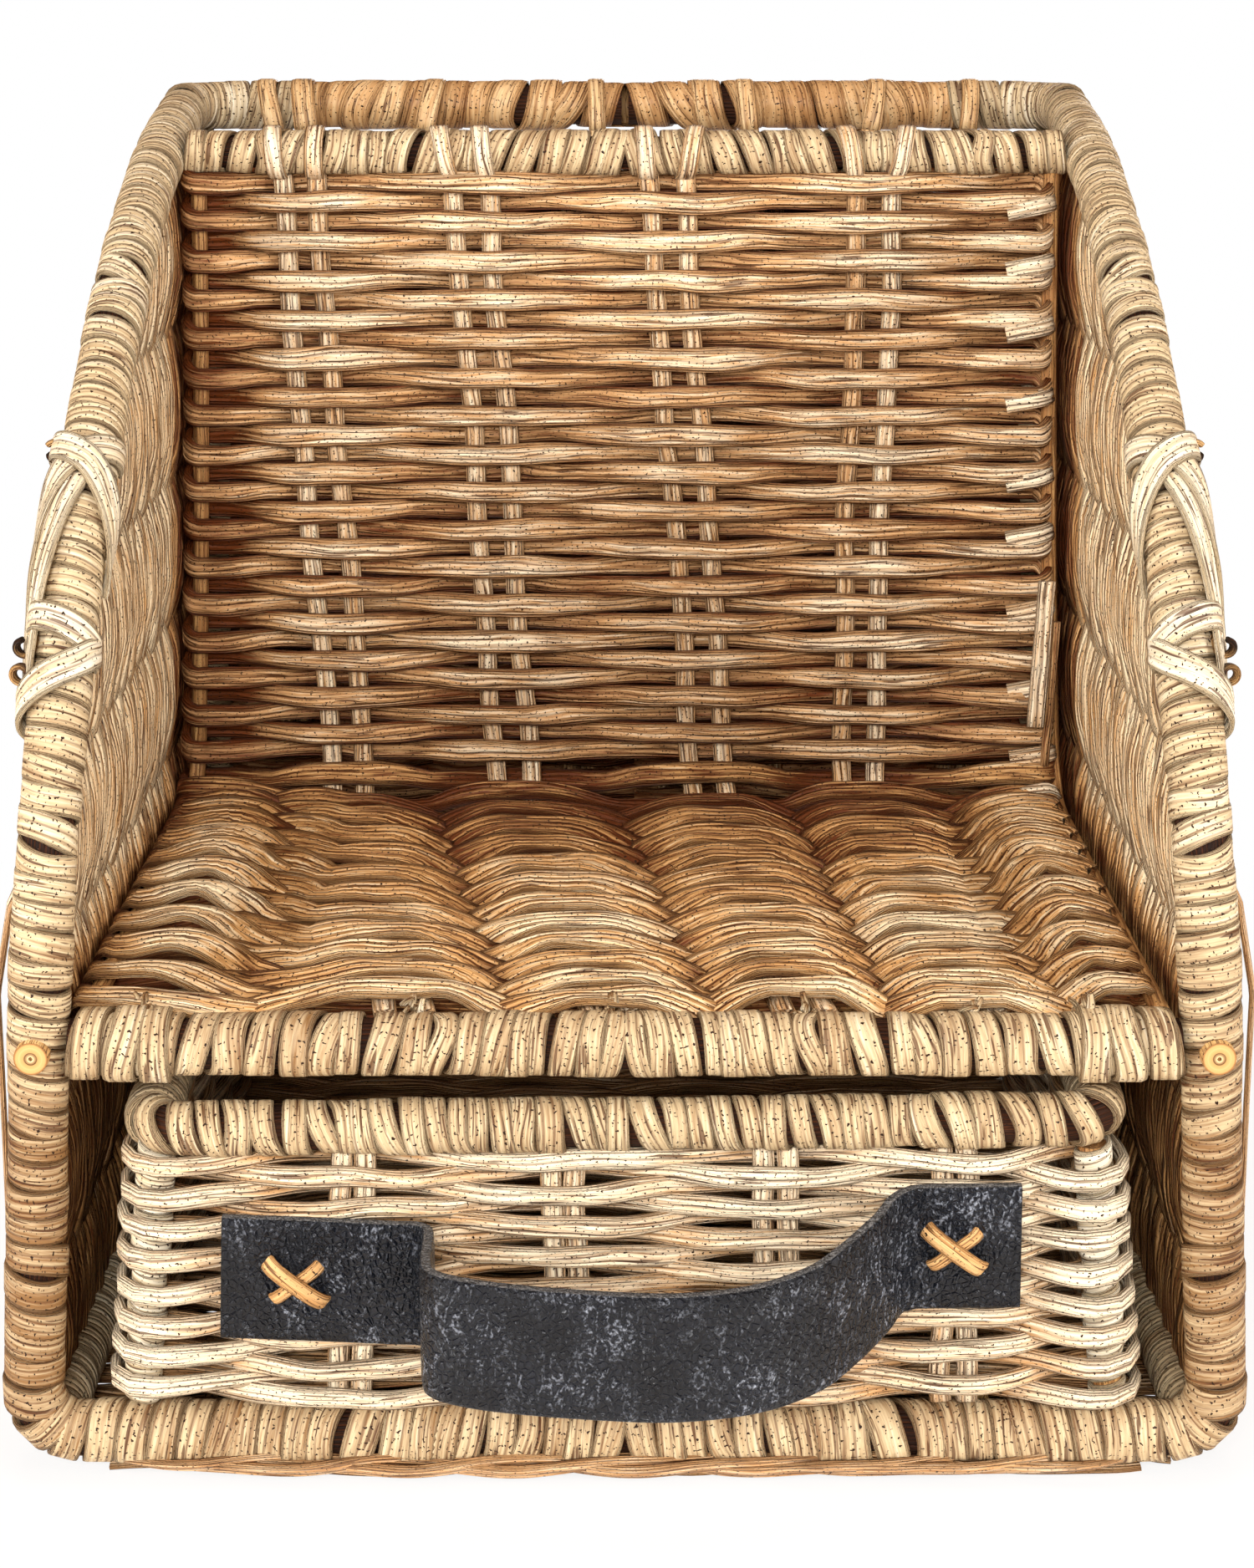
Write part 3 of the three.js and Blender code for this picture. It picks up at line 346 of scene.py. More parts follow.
def split_rattan(name, pale, middle, deep, fibre, relief, gloss, lines=0.7, contrast=0.9):
    """Split rattan: fibres side by side show as ridges along the strip, each with its own shade
    and finer lines of its own. Dark slivers lie between some of them, and small dark pores are
    scattered over it. The fibre width is in millimetres, and the relief in metres."""
    material, tree = empty_material(name)
    grain = add_node(tree, "ShaderNodeUVMap", {"uv_map": "grain_mm"}).outputs["UV"]
    tone = add_node(tree, "ShaderNodeAttribute", {"attribute_name": "tone"}).outputs["Fac"]

    def noise(source, across, along, detail, rough):
        """A noise whose unit is so many millimetres across and along the strip."""
        unit = (1 / across, 1 / along, 1)
        scaled = add_node(tree, "ShaderNodeVectorMath", {"operation": "MULTIPLY"}, {0: source, 1: unit})
        inputs = {"Vector": scaled.outputs[0], "Scale": 1.0, "Detail": detail, "Roughness": rough}
        return add_node(tree, "ShaderNodeTexNoise", {"noise_dimensions": "2D"}, inputs).outputs["Fac"]

    def sum_of(value, factor, other=0.0):
        """The value times the factor, plus the other."""
        return calculate(tree, "MULTIPLY_ADD", value, factor, other)

    # The fibres wander by a third of their width over some 25 mm
    parts = add_node(tree, "ShaderNodeSeparateXYZ", inputs={"Vector": grain})
    wander = sum_of(noise(grain, 6, 25, 1.0, 0.5), 1.3)
    number = sum_of(parts.outputs["X"], 1 / fibre, wander)
    whole = calculate(tree, "FLOOR", number)
    within = calculate(tree, "SUBTRACT", number, whole)
    from_middle = calculate(tree, "ABSOLUTE", sum_of(within, 1.0, -0.5))
    own = add_node(tree, "ShaderNodeTexWhiteNoise", {"noise_dimensions": "1D"}, {"W": whole}).outputs["Value"]
    shifted = {"X": sum_of(wander, fibre, parts.outputs["X"]), "Y": parts.outputs["Y"]}
    bent = add_node(tree, "ShaderNodeCombineXYZ", inputs=shifted).outputs[0]
    # The line between two fibres fades in and out along some 30 mm
    line_place = {"X": sum_of(whole, 3.7), "Y": sum_of(parts.outputs["Y"], 1 / 30)}
    line_place = add_node(tree, "ShaderNodeCombineXYZ", inputs=line_place).outputs[0]
    depth = step_up(tree, noise(line_place, 1, 1, 1.0, 0.5), 0.3, 0.6)
    furrow = calculate(tree, "MULTIPLY", step_up(tree, from_middle, 0.31, 0.46), depth)
    # Fine lines and slivers some 15 mm long, pores under a millimetre, patches some 30 mm long
    fine = noise(bent, 0.4 * fibre, 14, 3.0, 0.62)
    sliver = step_up(tree, noise(bent, 0.36, 15, 1.0, 0.5), 0.65, 0.71)
    pore = step_up(tree, noise(bent, 0.34, 0.8, 1.0, 0.6), 0.675, 0.725)
    patch = noise(grain, 9, 30, 2.0, 0.5)
    shade = sum_of(fine, contrast, sum_of(tone, 1.0, -0.15 - contrast / 2))
    shade = sum_of(own, 0.16, sum_of(patch, 0.22, shade))
    stops = [(0.0, linear(deep)), (1.0, linear(pale)), (0.5, linear(middle))]
    colour = add_node(tree, "ShaderNodeValToRGB", inputs={"Fac": shade}, stops=stops).outputs["Color"]
    colour = mix_colours(tree, sum_of(furrow, lines), colour, linear("5c2f12"))
    colour = mix_colours(tree, sum_of(sliver, 0.8), colour, linear("4c260e"))
    colour = mix_colours(tree, pore, colour, linear("2b170a"))
    height = sum_of(fine, 0.5, sum_of(sliver, -0.4, sum_of(pore, -0.4, 0.5)))
    height = sum_of(from_middle, -0.9, sum_of(furrow, -0.3, height))
    bumped = {"Strength": 1.0, "Distance": relief, "Height": height}
    normal = add_node(tree, "ShaderNodeBump", inputs=bumped).outputs["Normal"]
    look = {"Base Color": colour, "Roughness": gloss, "IOR": 1.45, "Specular IOR Level": 0.2,
            "Normal": normal}
    shader = add_node(tree, "ShaderNodeBsdfPrincipled", inputs=look)
    add_node(tree, "ShaderNodeOutputMaterial", inputs={"Surface": shader.outputs[0]})
    return material


wrapped_rattan = split_rattan(
    "split_rattan_wound", "eee6d0", "cbb48d", "84603a", 0.75, 0.0006, 0.5, 0.62, 1.05)
# The cane cores are painted near black, as the shade in the gaps between the wound strips
core_rattan = split_rattan("round_rattan_core_shaded", "53301a", "351b0b", "1c0d05", 1.2, 0.0005, 0.7)


def wind(line, outward, radius, pitch, width, thick, rng, slant=0.9, unevenness=0.16, tone=0.47,
         steps_a_turn=22):
    """A strip wound round a cane: at each angle the strip lies one radius out from the cane's
    middle line, and moves on by about one pitch a turn, a little unevenly and aslant."""
    tangent, side = directions(line, outward)
    front = np.cross(side, tangent)
    length = running_length(line)
    turns = max(2, int(round(length[-1] / pitch)))
    steps = np.clip(rng.normal(1, unevenness, turns), 0.6, 1.6)
    marks = np.concatenate([[0], np.cumsum(steps)])
    marks *= length[-1] / marks[-1]
    turn = np.linspace(0, turns, turns * steps_a_turn + 1)

    def each_turn(values):
        """Values given at whole turns, interpolated between them."""
        return np.interp(turn, np.arange(turns + 1), values)

    angle = 2 * math.pi * turn + math.pi
    tilt = each_turn(rng.normal(0, slant, turns + 1))
    lean = each_turn(rng.uniform(0, 6.28, turns + 1))
    place = each_turn(marks) + tilt * np.sin(angle + lean)
    place = np.clip(place, 0.3 * width, length[-1] - 0.3 * width)
    out = sampled(place, length, front) * np.cos(angle)[:, None]
    out = out + sampled(place, length, side) * np.sin(angle)[:, None]
    lift = each_turn(np.clip(rng.normal(0, 0.26, turns + 1), -0.5, 0.5))
    path = sampled(place, length, line) + out * (radius - thick / 2 + lift)[:, None]
    own = np.append(steps, 1) ** 0.5 * rng.uniform(0.9, 1.1, turns + 1)
    shade = each_turn(np.clip(rng.normal(tone, 0.07, turns + 1), 0.2, 0.85))
    return path[None], out[None], width * each_turn(own)[None], thick, shade[None]


flat_strip = {"flat": 0.3, "full": 0.42, "edge": 0.26, "mirror": True}


def wound_cane(name, line, outward, radius, pitch, width, thick, rng, nodes=(), body="carcass",
               section=flat_strip, **winding):
    """The mesh of a strip wound round a cane."""
    strip = wind(line, outward, radius, pitch, width, thick, rng, **winding)
    strands(name, "wrapped_cane", *strip, wrapped_rattan, nodes, body, **section)


def round_cane(name, line, outward, across, tone=0.3, finish=core_rattan, nodes=(), slot="bare_cane",
               body="carcass", sides=12, mirror=True):
    """The mesh of a plain round cane along each line, so many millimetres across."""
    strands(name, slot, line, outward, across, across, tone, finish, nodes, body, sides, 1, 1, mirror)


line = frame_line()
joint = int(np.argmax((line[:, 2] > joint_rise) & (line[:, 0] > 0)))
tangents = np.gradient(line, axis=0)
tangents /= np.linalg.norm(tangents, axis=1, keepdims=True)
hoop_out = points(tangents[: joint + 1, 2], 0, -tangents[: joint + 1, 0])
rim_line = line[joint:]
rim_out = points(np.abs(tangents[joint:, 2]) + np.abs(tangents[joint:, 1]), -tangents[joint:, 0], 0)
frame_out = np.concatenate([hoop_out[:-1], rim_out])
# Pitch, width and thickness of the strip
frame_strip = (6.8, 7.1, 1.4)
rng = np.random.default_rng(3)
winding = wind(line[: joint + 1], hoop_out, cane_radius, *frame_strip, rng, slant=1.0)
# Painted shade: the posts are darker below the shelf, most of all half way down
low_post_shade = 0.42 * np.exp(-(((winding[0][..., 2] - 44) / 48) ** 2))
strands("front_hoop_wound", "wrapped_cane", *winding[:4], winding[4] - low_post_shade, wrapped_rattan,
        ["front_hoop"], **flat_strip)
bend_end = int(np.argmax(rim_line[:, 0] < 96))
wound_cane("top_rim_wound", rim_line[: bend_end + 3], rim_out[: bend_end + 3], cane_radius, *frame_strip,
           rng, ["top_rim"], slant=1.4)
smooth_rattan = split_rattan("split_rattan_peeled", "e2c698", "b98f5f", "7d4e27", 1.2, 0.0004, 0.38, 0.5)
winding = wind(rim_line[bend_end:], rim_out[bend_end:], cane_radius, 8.3, 9.6, 1.4, rng, slant=2.2)
strands("back_rail_wound", "wrapped_cane", *winding, smooth_rattan, mirror=True)
round_cane("frame_cane_core", line[None, ::3], frame_out[None, ::3], 2 * cane_radius - 2.4)


# Base rail and rear posts: the same wound cane, round the sides and back at the floor, and
# straight up inside the two back corners.
rail_half = base_half_width - 4
side_run = np.linspace(8, frame_depth - back_corner_radius - 1, 120)
corner = back_corner(rail_half, np.linspace(0, math.pi / 2, 24), 0)
across = np.linspace(rail_half - back_corner_radius - 1, 0, 80)
base_line = np.concatenate([points(rail_half, side_run, 0), corner, points(across, frame_depth, 0)])
base_line = even(base_line, 1.0)
base_tangent = np.gradient(base_line, axis=0)
base_out = points(base_tangent[:, 1], -base_tangent[:, 0], 0)
rng = np.random.default_rng(11)
wound_cane("base_rail_wound", base_line, base_out, cane_radius, 5.6, 5.8, 1.4, rng, ["base_rail"])
round_cane("base_rail_core", base_line[None, ::3], base_out[None, ::3], 11.6)

back_inset = back_corner_radius * (1 - math.sqrt(0.5))
post_run = frame_depth - back_inset
post_radius = 6.0


def post_x(rise):
    """How far out the middle of a rear post lies at a height."""
    return rail_half + (top_half_width - rail_half) * rise / back_rail_rise - back_inset


rise = np.linspace(cane_radius + 0.3, back_rail_rise - cane_radius - 0.3, 140)
post_line = points(post_x(rise), post_run, rise)
wound_cane("rear_posts_wound", post_line, to_right, post_radius, 5.4, 5.6, 1.4, rng,
           ["rear_post_right", "rear_post_left"], section={"mirror": True})
round_cane("rear_post_cores", post_line[None, ::8], to_right, 9.8)


# Side panels: flat strips of rattan woven up and down between the rails, round stakes that run
# from front to back. Above the shelf they end on the underside of the bent rim.
woven_rattan = split_rattan(
    "split_rattan_woven", "f2e0c0", "c99a67", "6a3414", 1.15, 0.0011, 0.46, 0.7, 1.2)


def weavers(surface, levels, ends, stakes, lifts, half_pair, rng, width, thick, turn=0.0, step=3.2,
            wobble=0.45, phase=0, tilt=0.0, bow=0.0, narrow=0.0, dusk=0.1, bright=0.6):
    """Plain weave. Every row runs along u at its own level, and its distance from the sheet is a
    cosine that is full on one side at one stake and full on the other at the next; the next row
    does the opposite. Where two rows cross between the stakes they lean by the tilt, as closely
    packed strips do, and are pushed along by the bow. A strip is darker, by the dusk, where it
    passes behind. With a turn radius the ends curl half round the edge stakes to meet the row
    above or below. The surface gives a point and a normal for each u and level."""
    rows = len(levels)
    count = int(np.ceil((ends[:, 1] - ends[:, 0]).max() / step)) + 1
    u = ends[:, :1] + (ends[:, 1:] - ends[:, :1]) * np.linspace(0, 1, count)[None]
    low = stakes[:, None, :-1] + half_pair
    high = stakes[:, None, 1:] - half_pair
    passed = np.clip((u[:, :, None] - low) / np.maximum(high - low, 1), 0, 1)
    angle = math.pi * passed.sum(-1)
    lifts = np.broadcast_to(lifts, stakes.shape)
    height = lifts[:, :1] + (passed * np.diff(lifts, axis=1)[:, None]).sum(-1)
    sign = np.where((np.arange(rows) + phase) % 2 == 0, 1.0, -1.0)[:, None]
    offset = sign * height * np.cos(angle)
    level = np.broadcast_to(levels[:, None], u.shape) + drift(rows, u, 70, wobble, rng)
    offset = offset + drift(rows, u, 40, 0.22, rng)
    crossing = 1 - np.abs(np.cos(angle))
    level = level + column(bow) * (0.5 - crossing)
    lean = drift(rows, u, 55, 0.12, rng) + column(tilt) * (0.25 + 0.75 * crossing)
    flow = np.zeros_like(u)
    if turn:
        bend = np.linspace(0, math.pi / 2, 7)[None, 1:]
        spacing = np.abs(np.diff(levels)).mean()
        up = np.where(np.arange(rows) % 2 == 0, 1.0, -1.0)[:, None] * np.sign(levels[-1] - levels[0])
        curls = []
        for end, way, towards in ((0, -1.0, -up), (-1, 1.0, up)):
            side_sign = np.sign(offset[:, [end]])
            curl = [u[:, [end]] + way * turn * np.sin(bend), side_sign * turn * np.cos(bend),
                    level[:, [end]] + towards * spacing / 2 * (1 - np.cos(bend)),
                    np.zeros((rows, bend.size)), way * side_sign * bend]
            curls.append([c[:, ::-1] if end == 0 else c for c in curl])
        joined = zip(curls[0], [u, offset, level, lean, flow], curls[1])
        u, offset, level, lean, flow = [np.concatenate(parts, 1) for parts in joined]
        crossing = np.pad(crossing, ((0, 0), (bend.size, bend.size)))
    place, normal = surface(u, level)
    ahead, _ = surface(u + 0.5, level)
    sideways = (ahead - place) / np.linalg.norm(ahead - place, axis=-1, keepdims=True)
    path = place + normal * offset[..., None]
    facing = normal * np.cos(flow)[..., None] + sideways * np.sin(flow)[..., None]
    across = np.cross(facing, sideways)
    facing = facing * np.cos(lean)[..., None] + across * np.sin(lean)[..., None]
    widths = column(width) * (1 + drift(rows, u, 60, 0.07, rng)) * rng.uniform(0.94, 1.06, (rows, 1))
    widths = widths * (1 - column(narrow) * crossing)
    thicks = column(thick) * (1 + drift(rows, u, 45, 0.08, rng))
    # Painted shade: a strip is darker, by the dusk, where it passes behind the stakes
    behind = 0.5 - 0.5 * np.clip(offset / np.abs(lifts).mean(), -1, 1)
    shade = column(bright) + rng.normal(0, 0.07, (rows, 1)) + drift(rows, u, 120, 0.05, rng)
    return path, facing, widths, thicks, shade - column(dusk) * behind


def side_surface(rise, run):
    """The side wall's middle: the frame's half width at each height, facing outwards."""
    return points(frame_half(rise), run, rise), to_right


edge_run, edge_rise = rim_profile(np.linspace(0, math.pi / 2, 400))
edge_slope = np.stack([np.gradient(edge_run), np.gradient(edge_rise)], 1)
edge_slope /= np.linalg.norm(edge_slope, axis=1, keepdims=True)
under_run = edge_run + edge_slope[:, 1] * (cane_radius - 1.5)
under_rise = edge_rise - edge_slope[:, 0] * (cane_radius - 1.5)
levels = np.arange(cane_radius + 2.4, post_run - post_radius - 2.2, 4.9)
ends = np.stack([0 * levels + 2.0, np.interp(levels, under_run, under_rise)], 1)
side_stakes = np.array([-30.0, 14, 55, shelf_rise, 137, 177, 217, 258, 300])
rng = np.random.default_rng(21)
stakes = np.broadcast_to(side_stakes, (len(levels), len(side_stakes)))
side = weavers(side_surface, levels, ends, stakes, 3.8, 3.5, rng, 9.8, 2.2, step=3.8, phase=1, tilt=-0.7,
               dusk=0.42, bright=1.27)
# Painted shade: the panels' inner side darkens behind the bay's sheet, along the shelf and below it
behind_sheet = np.clip((side[0][..., 1] - 146) / 12, 0, 1)
near_shelf = np.clip(1 - np.abs(side[0][..., 2] - 101) / 13, 0, 1)
below_shelf = np.clip((96 - side[0][..., 2]) / 12, 0, 1)
painted_shade = np.maximum(0.85 * np.maximum(behind_sheet, near_shelf), 0.6 * below_shelf)
fine_rattan = split_rattan(
    "split_rattan_side_panels", "f4dfb8", "cb995f", "613014", 0.78, 0.001, 0.5, 1.0, 1.6)
strands("side_weavers", "woven_cane", *side, fine_rattan,
        ["side_weave_upper_right", "side_weave_upper_left", "side_weave_lower_right",
         "side_weave_lower_left"], mirror=True, edge=0.5, under=painted_shade)
stake_rises = side_stakes[1:-1]
stake_start = np.interp(stake_rises, edge_rise, edge_run) + 6
stake_run = stake_start[:, None] + (post_run - 6 - stake_start)[:, None] * np.linspace(0, 1, 40)[None]
stake_line = points(frame_half(stake_rises)[:, None], stake_run,
                    stake_rises[:, None] + drift(7, stake_run, 90, 1.0, rng))
for k, offset in (("low", -3.0), ("high", 3.0)):
    strands(f"side_stakes_{k}", "woven_cane", stake_line + offset * to_top, to_right, 4.6, 3.0, 0.5,
            woven_rattan, mirror=True)


# Back wall: strips woven across between the rear posts, round upright stakes, under a top rod.
def post_half(rise):
    """Half the width between the rear posts at a height."""
    return post_x(rise) - post_radius


def back_surface(x, rise):
    """The back wall's middle plane, facing backwards."""
    return points(x, post_run, rise), to_back


levels = np.arange(cane_radius + 3, back_rail_rise - 17, 5.3)
halves = post_half(levels) + 5
ends = np.stack([-halves, halves], 1)
back_stakes = np.linspace(-1, 1, 10)[None] * (halves[:, None] + 10)
rng = np.random.default_rng(31)
back = weavers(back_surface, levels, ends, back_stakes, 3.4, 3.2, rng, 9.6, 2.1, step=3.6, tilt=0.5)
# Painted shade on its inner side, less so where the drawer's bay is open in front of it
painted_shade = 0.55 - 0.25 * np.clip((100 - back[0][..., 2]) / 20, 0, 1)
strands("back_weavers", "woven_cane", *back, woven_rattan, ["back_weave"], under=painted_shade)
rise = np.linspace(cane_radius + 1, back_rail_rise - 12, 60)[None]
for k, offset in (("left", -3.0), ("right", 3.0)):
    x = np.linspace(-1, 1, 10)[1:-1, None] * (post_half(rise) + 9) + offset + drift(8, rise, 120, 0.8, rng)
    strands(f"back_stakes_{k}", "woven_cane", points(x, post_run, rise), to_back, 4.8, 2.8, 0.55,
            woven_rattan)
rod_rise = back_rail_rise - cane_radius - 2.6 - 3.5
rod_half = post_half(rod_rise)
rod_line = points(np.linspace(-rod_half, rod_half, 160), post_run, rod_rise)
wound_cane("back_wall_rod_wound", rod_line, to_back, 3.6, 6.2, 5.6, 1.1, rng, ["back_wall_rod"],
           section={}, steps_a_turn=14)


# Bottom: strips woven from side to side round stakes from front to back, tied under the rails.
bottom_rise = -9.05


def bottom_surface(x, run):
    """The woven bottom's middle plane, just under the base rails, facing down."""
    return points(x, run, bottom_rise), -to_top


levels = np.arange(2.5, frame_depth + 0.5, 5.2)
halves = rail_half + 1.5 - np.where(levels > frame_depth - 14, (levels - frame_depth + 14) * 0.8, 0)
halves = halves - 1.6 * np.clip(12 - levels, 0, 10)
ends = np.stack([-halves, halves], 1)
bottom_stakes = np.linspace(-base_half_width + 0.5, base_half_width - 0.5, 8)
stakes = np.broadcast_to(bottom_stakes, (len(levels), 8))
rng = np.random.default_rng(41)
bottom = weavers(bottom_surface, levels, ends, stakes, 1.25, 4, rng, 8.4, 1.9, wobble=0.3)
strands("bottom_weavers", "woven_cane", *bottom, woven_rattan, ["bottom_weave"])
# Three long strips wind round each other below the front edge
edge_reach = 118
x = np.linspace(-edge_reach, edge_reach, 120)[None]
taper = 1 - 0.75 * (x / edge_reach) ** 10
for k, start in enumerate((0.0, 2.2, 4.1)):
    swing = np.cos(2 * math.pi * x / 92 + start) + 0.3 * np.cos(2 * math.pi * x / 37 + 2 * start)
    rise = -6.4 - 1.5 * swing + 3 * (x / edge_reach) ** 10
    place = points(x, -4.2 - 0.8 * np.sin(2 * math.pi * x / 92 + start), rise)
    strands(f"bottom_edge_strip_{k}", "woven_cane", place, [0, -0.8, -0.6], 6.2 * taper, 1.7, 0.62,
            woven_rattan)
run = np.linspace(2, frame_depth - 3, 50)[None]
for k, offset in (("left", -3.0), ("right", 3.0)):
    x = bottom_stakes[1:-1, None] + offset + drift(6, run, 80, 0.8, rng)
    strands(f"bottom_stakes_{k}", "woven_cane", points(x, run, -9.1), to_top, 4.6, 1.2, 0.5, woven_rattan)


# Runners and shelf bar: plain round canes that the drawer slides on and the shelf rests on.
bare_rattan = split_rattan("round_rattan_bare", "e6cb98", "c69c62", "94663a", 1.7, 0.0003, 0.45)
runner_x = 80.0
run = np.linspace(7.3, frame_depth - 7.3, 60)[None]
round_cane("drawer_runners_bare", points(runner_x, run, drift(1, run, 90, 0.15, rng)), to_top, 13.6, 0.55,
           bare_rattan, ["drawer_runner_right", "drawer_runner_left"], sides=20)
bar_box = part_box("shelf_rear_bar")
bar_rise = (bar_box[0].z + bar_box[1].z) * 500 - stand_rise
bar_run = (bar_box[0].y + bar_box[1].y) * 500 - front_run
x = np.linspace(bar_box[0].x * 1000, bar_box[1].x * 1000, 60)[None]
round_cane("shelf_bar_bare", points(x, bar_run, bar_rise), to_top, 8.8, 0.5, bare_rattan,
           ["shelf_rear_bar"], sides=16, mirror=False)


# Bay: one woven sheet, down from its top rail, round a bend and forward to the shelf rail.
# Flat strips pass over and under pairs of flat stakes and turn back round a stake at each edge.
# A place on the sheet is given by x and by the length down from the top rail.
shelf_level = shelf_rise + 5.3
insert_run = 165.0
insert_rail_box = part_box("insert_top_rail")
insert_rail_rise = (insert_rail_box[0].z + insert_rail_box[1].z) * 500 - stand_rise
bend_radius = 16.0
edge_inset = 10.2
bend = np.linspace(0, math.pi / 2, 16)[1:-1]
upright = np.linspace(insert_rail_rise - 5, shelf_level + bend_radius, 60)
flat_run = np.linspace(insert_run - bend_radius, 4.4, 60)
bend_run = insert_run - bend_radius * (1 - np.cos(bend))
bend_rise = shelf_level + bend_radius * (1 - np.sin(bend))
sheet_run = np.concatenate([0 * upright + insert_run, bend_run, flat_run])
sheet_rise = np.concatenate([upright, bend_rise, 0 * flat_run + shelf_level])
sheet_turn = np.concatenate([0 * upright, bend, 0 * flat_run + math.pi / 2])
sheet_length = running_length(np.stack([sheet_run, sheet_rise], 1))
upright_length = insert_rail_rise - shelf_level


def bay_surface(x, down):
    """The bent sheet: run and rise at a length down from the top rail, facing into the bay."""
    run, rise, turn = [np.interp(down, sheet_length, v) for v in (sheet_run, sheet_rise, sheet_turn)]
    return points(x, run, rise), points(0, -np.cos(turn), np.sin(turn))


def swept_surface(x, down):
    """The same sheet, with the rows of the shelf swept back towards both sides."""
    share = np.clip((down - upright_length + 8) / (sheet_length[-1] - upright_length + 8), 0, 1)
    left = 33 * np.sin(2.5 * np.clip((-x - 77) / 43, 0, 1))
    right = 25 * np.sin(2.5 * np.clip((x - 87) / 33, 0, 1))
    return bay_surface(x, down - np.sin(math.pi * share) * (left + right))


# On the shelf the rows lie wider apart behind than in front, and their strips are wider to match
upright_rows = np.arange(3.0, upright_length - 19, 5.35)
shelf_rows = upright_rows[-1] + np.cumsum(np.linspace(8.6, 5.6, 24))
shelf_rows = shelf_rows[shelf_rows < sheet_length[-1] + 3]
levels = np.concatenate([upright_rows, shelf_rows])
past_bend = levels - upright_rows[-1]
on_shelf = np.clip(past_bend / 20, 0, 1)
in_front = np.clip((past_bend - 20) / 90, 0, 1)
packed = np.clip((past_bend - 18) / 25, 0, 1)
edge_x = frame_half(np.interp(levels, sheet_length, sheet_rise)) - edge_inset
right_edge = edge_x - 4.0
ends = np.stack([-edge_x, right_edge], 1)
# Where the middle of each stake pair lies at the top rail, at the bend and at the shelf rail
pairs = np.array([[-89.0, -78, -50], [-42, -31, -3], [11, 25, 41], [68, 66, 79]])
pair_marks = [0, upright_length, sheet_length[-1]]
stakes = np.stack([-edge_x] + [np.interp(levels, pair_marks, pair) for pair in pairs] + [right_edge], 1)
lifts = [3.5, 3.2, 3.2, 3.2, 3.2, 3.5] + column(on_shelf) * [0, 0.5, 0.6, 0.6, 0.5, 0]
row_widths = 6.4 + packed * (1.42 * np.gradient(levels) - 6.4)
# Painted shade: the rows darken down the upright, most at the bend and the shelf's back, and lighten again
# towards the shelf's front
row_tones = 0.82 - 0.12 * np.clip(levels / upright_rows[-1], 0, 1) - 0.6 * on_shelf + 0.62 * in_front
rng = np.random.default_rng(51)
bay = weavers(swept_surface, levels, ends, stakes, lifts, 6.0, rng, row_widths, 3.0 - 0.8 * packed,
              turn=3.5, wobble=0.3, tilt=-0.7 * packed, narrow=0.14 * (1 - packed),
              bow=-3.0 * on_shelf - 7.0 * packed + 3.0 * in_front**4,
              dusk=0.42 + 0.25 * on_shelf, bright=row_tones)
# The swept strips at both sides are paler; their outermost ends, and the back's left, are darkened with
# painted shade
from_middle = np.abs(bay[0][..., 0])
paler_sides_and_edge_shade = 0.3 * column(on_shelf) * np.clip((from_middle - 74) / 20, 0, 1) * (1 - 0.7 * column(in_front))
paler_sides_and_edge_shade = paler_sides_and_edge_shade - 0.5 * np.clip((from_middle - column(edge_x) + 7) / 10, 0, 1)
dim = 0.45 * np.clip((-bay[0][..., 0] - 100) / 12, 0, 1)
upper = len(upright_rows)
strands("bay_back_weavers", "woven_cane", *[v[:upper] for v in bay[:4]], (bay[4] - dim)[:upper],
        woven_rattan, ["insert_weave"], flat=0.65, edge=0.66)
strands("bay_shelf_weavers", "woven_cane", *[v[upper:] for v in bay[:4]], (bay[4] + paler_sides_and_edge_shade)[upper:],
        fine_rattan, ["insert_weave"], flat=0.42, edge=0.36)
down = np.linspace(0, sheet_length[-1], 130)[None]
pair_x = np.stack([np.interp(down[0], pair_marks, pair) for pair in pairs])
half_pair = 4.8
for k, offset in (("left", -half_pair), ("right", half_pair)):
    place, facing = bay_surface(pair_x + offset * (1 + drift(4, down, 130, 0.12, rng)), down)
    strands(f"bay_stakes_{k}", "woven_cane", place, facing, 5.6, 2.4, rng.uniform(0.6, 0.8, (4, 1)),
            woven_rattan)
# The edge stakes are painted dark, as shade where they meet the side panels
edge_stake_x = frame_half(np.interp(down, sheet_length, sheet_rise)) - edge_inset
round_cane("bay_edge_stakes", *bay_surface(edge_stake_x, down), 4.4, 0.1, bare_rattan,
           ["insert_edge_stake_right", "insert_edge_stake_left"])
top_half = frame_half(insert_rail_rise) - cane_radius - 0.3
top_line = points(np.linspace(0, top_half, 130), insert_run, insert_rail_rise)
wound_cane("bay_top_rail_wound", top_line, -to_top, 6.0, 6.3, 6.3, 1.5, rng, ["insert_top_rail"],
           slant=1.5, unevenness=0.22, tone=0.36)
top_line = points(np.linspace(-top_half, top_half, 20), insert_run, insert_rail_rise)
round_cane("bay_top_rail_core", top_line[None], to_top, 8.6, mirror=False)


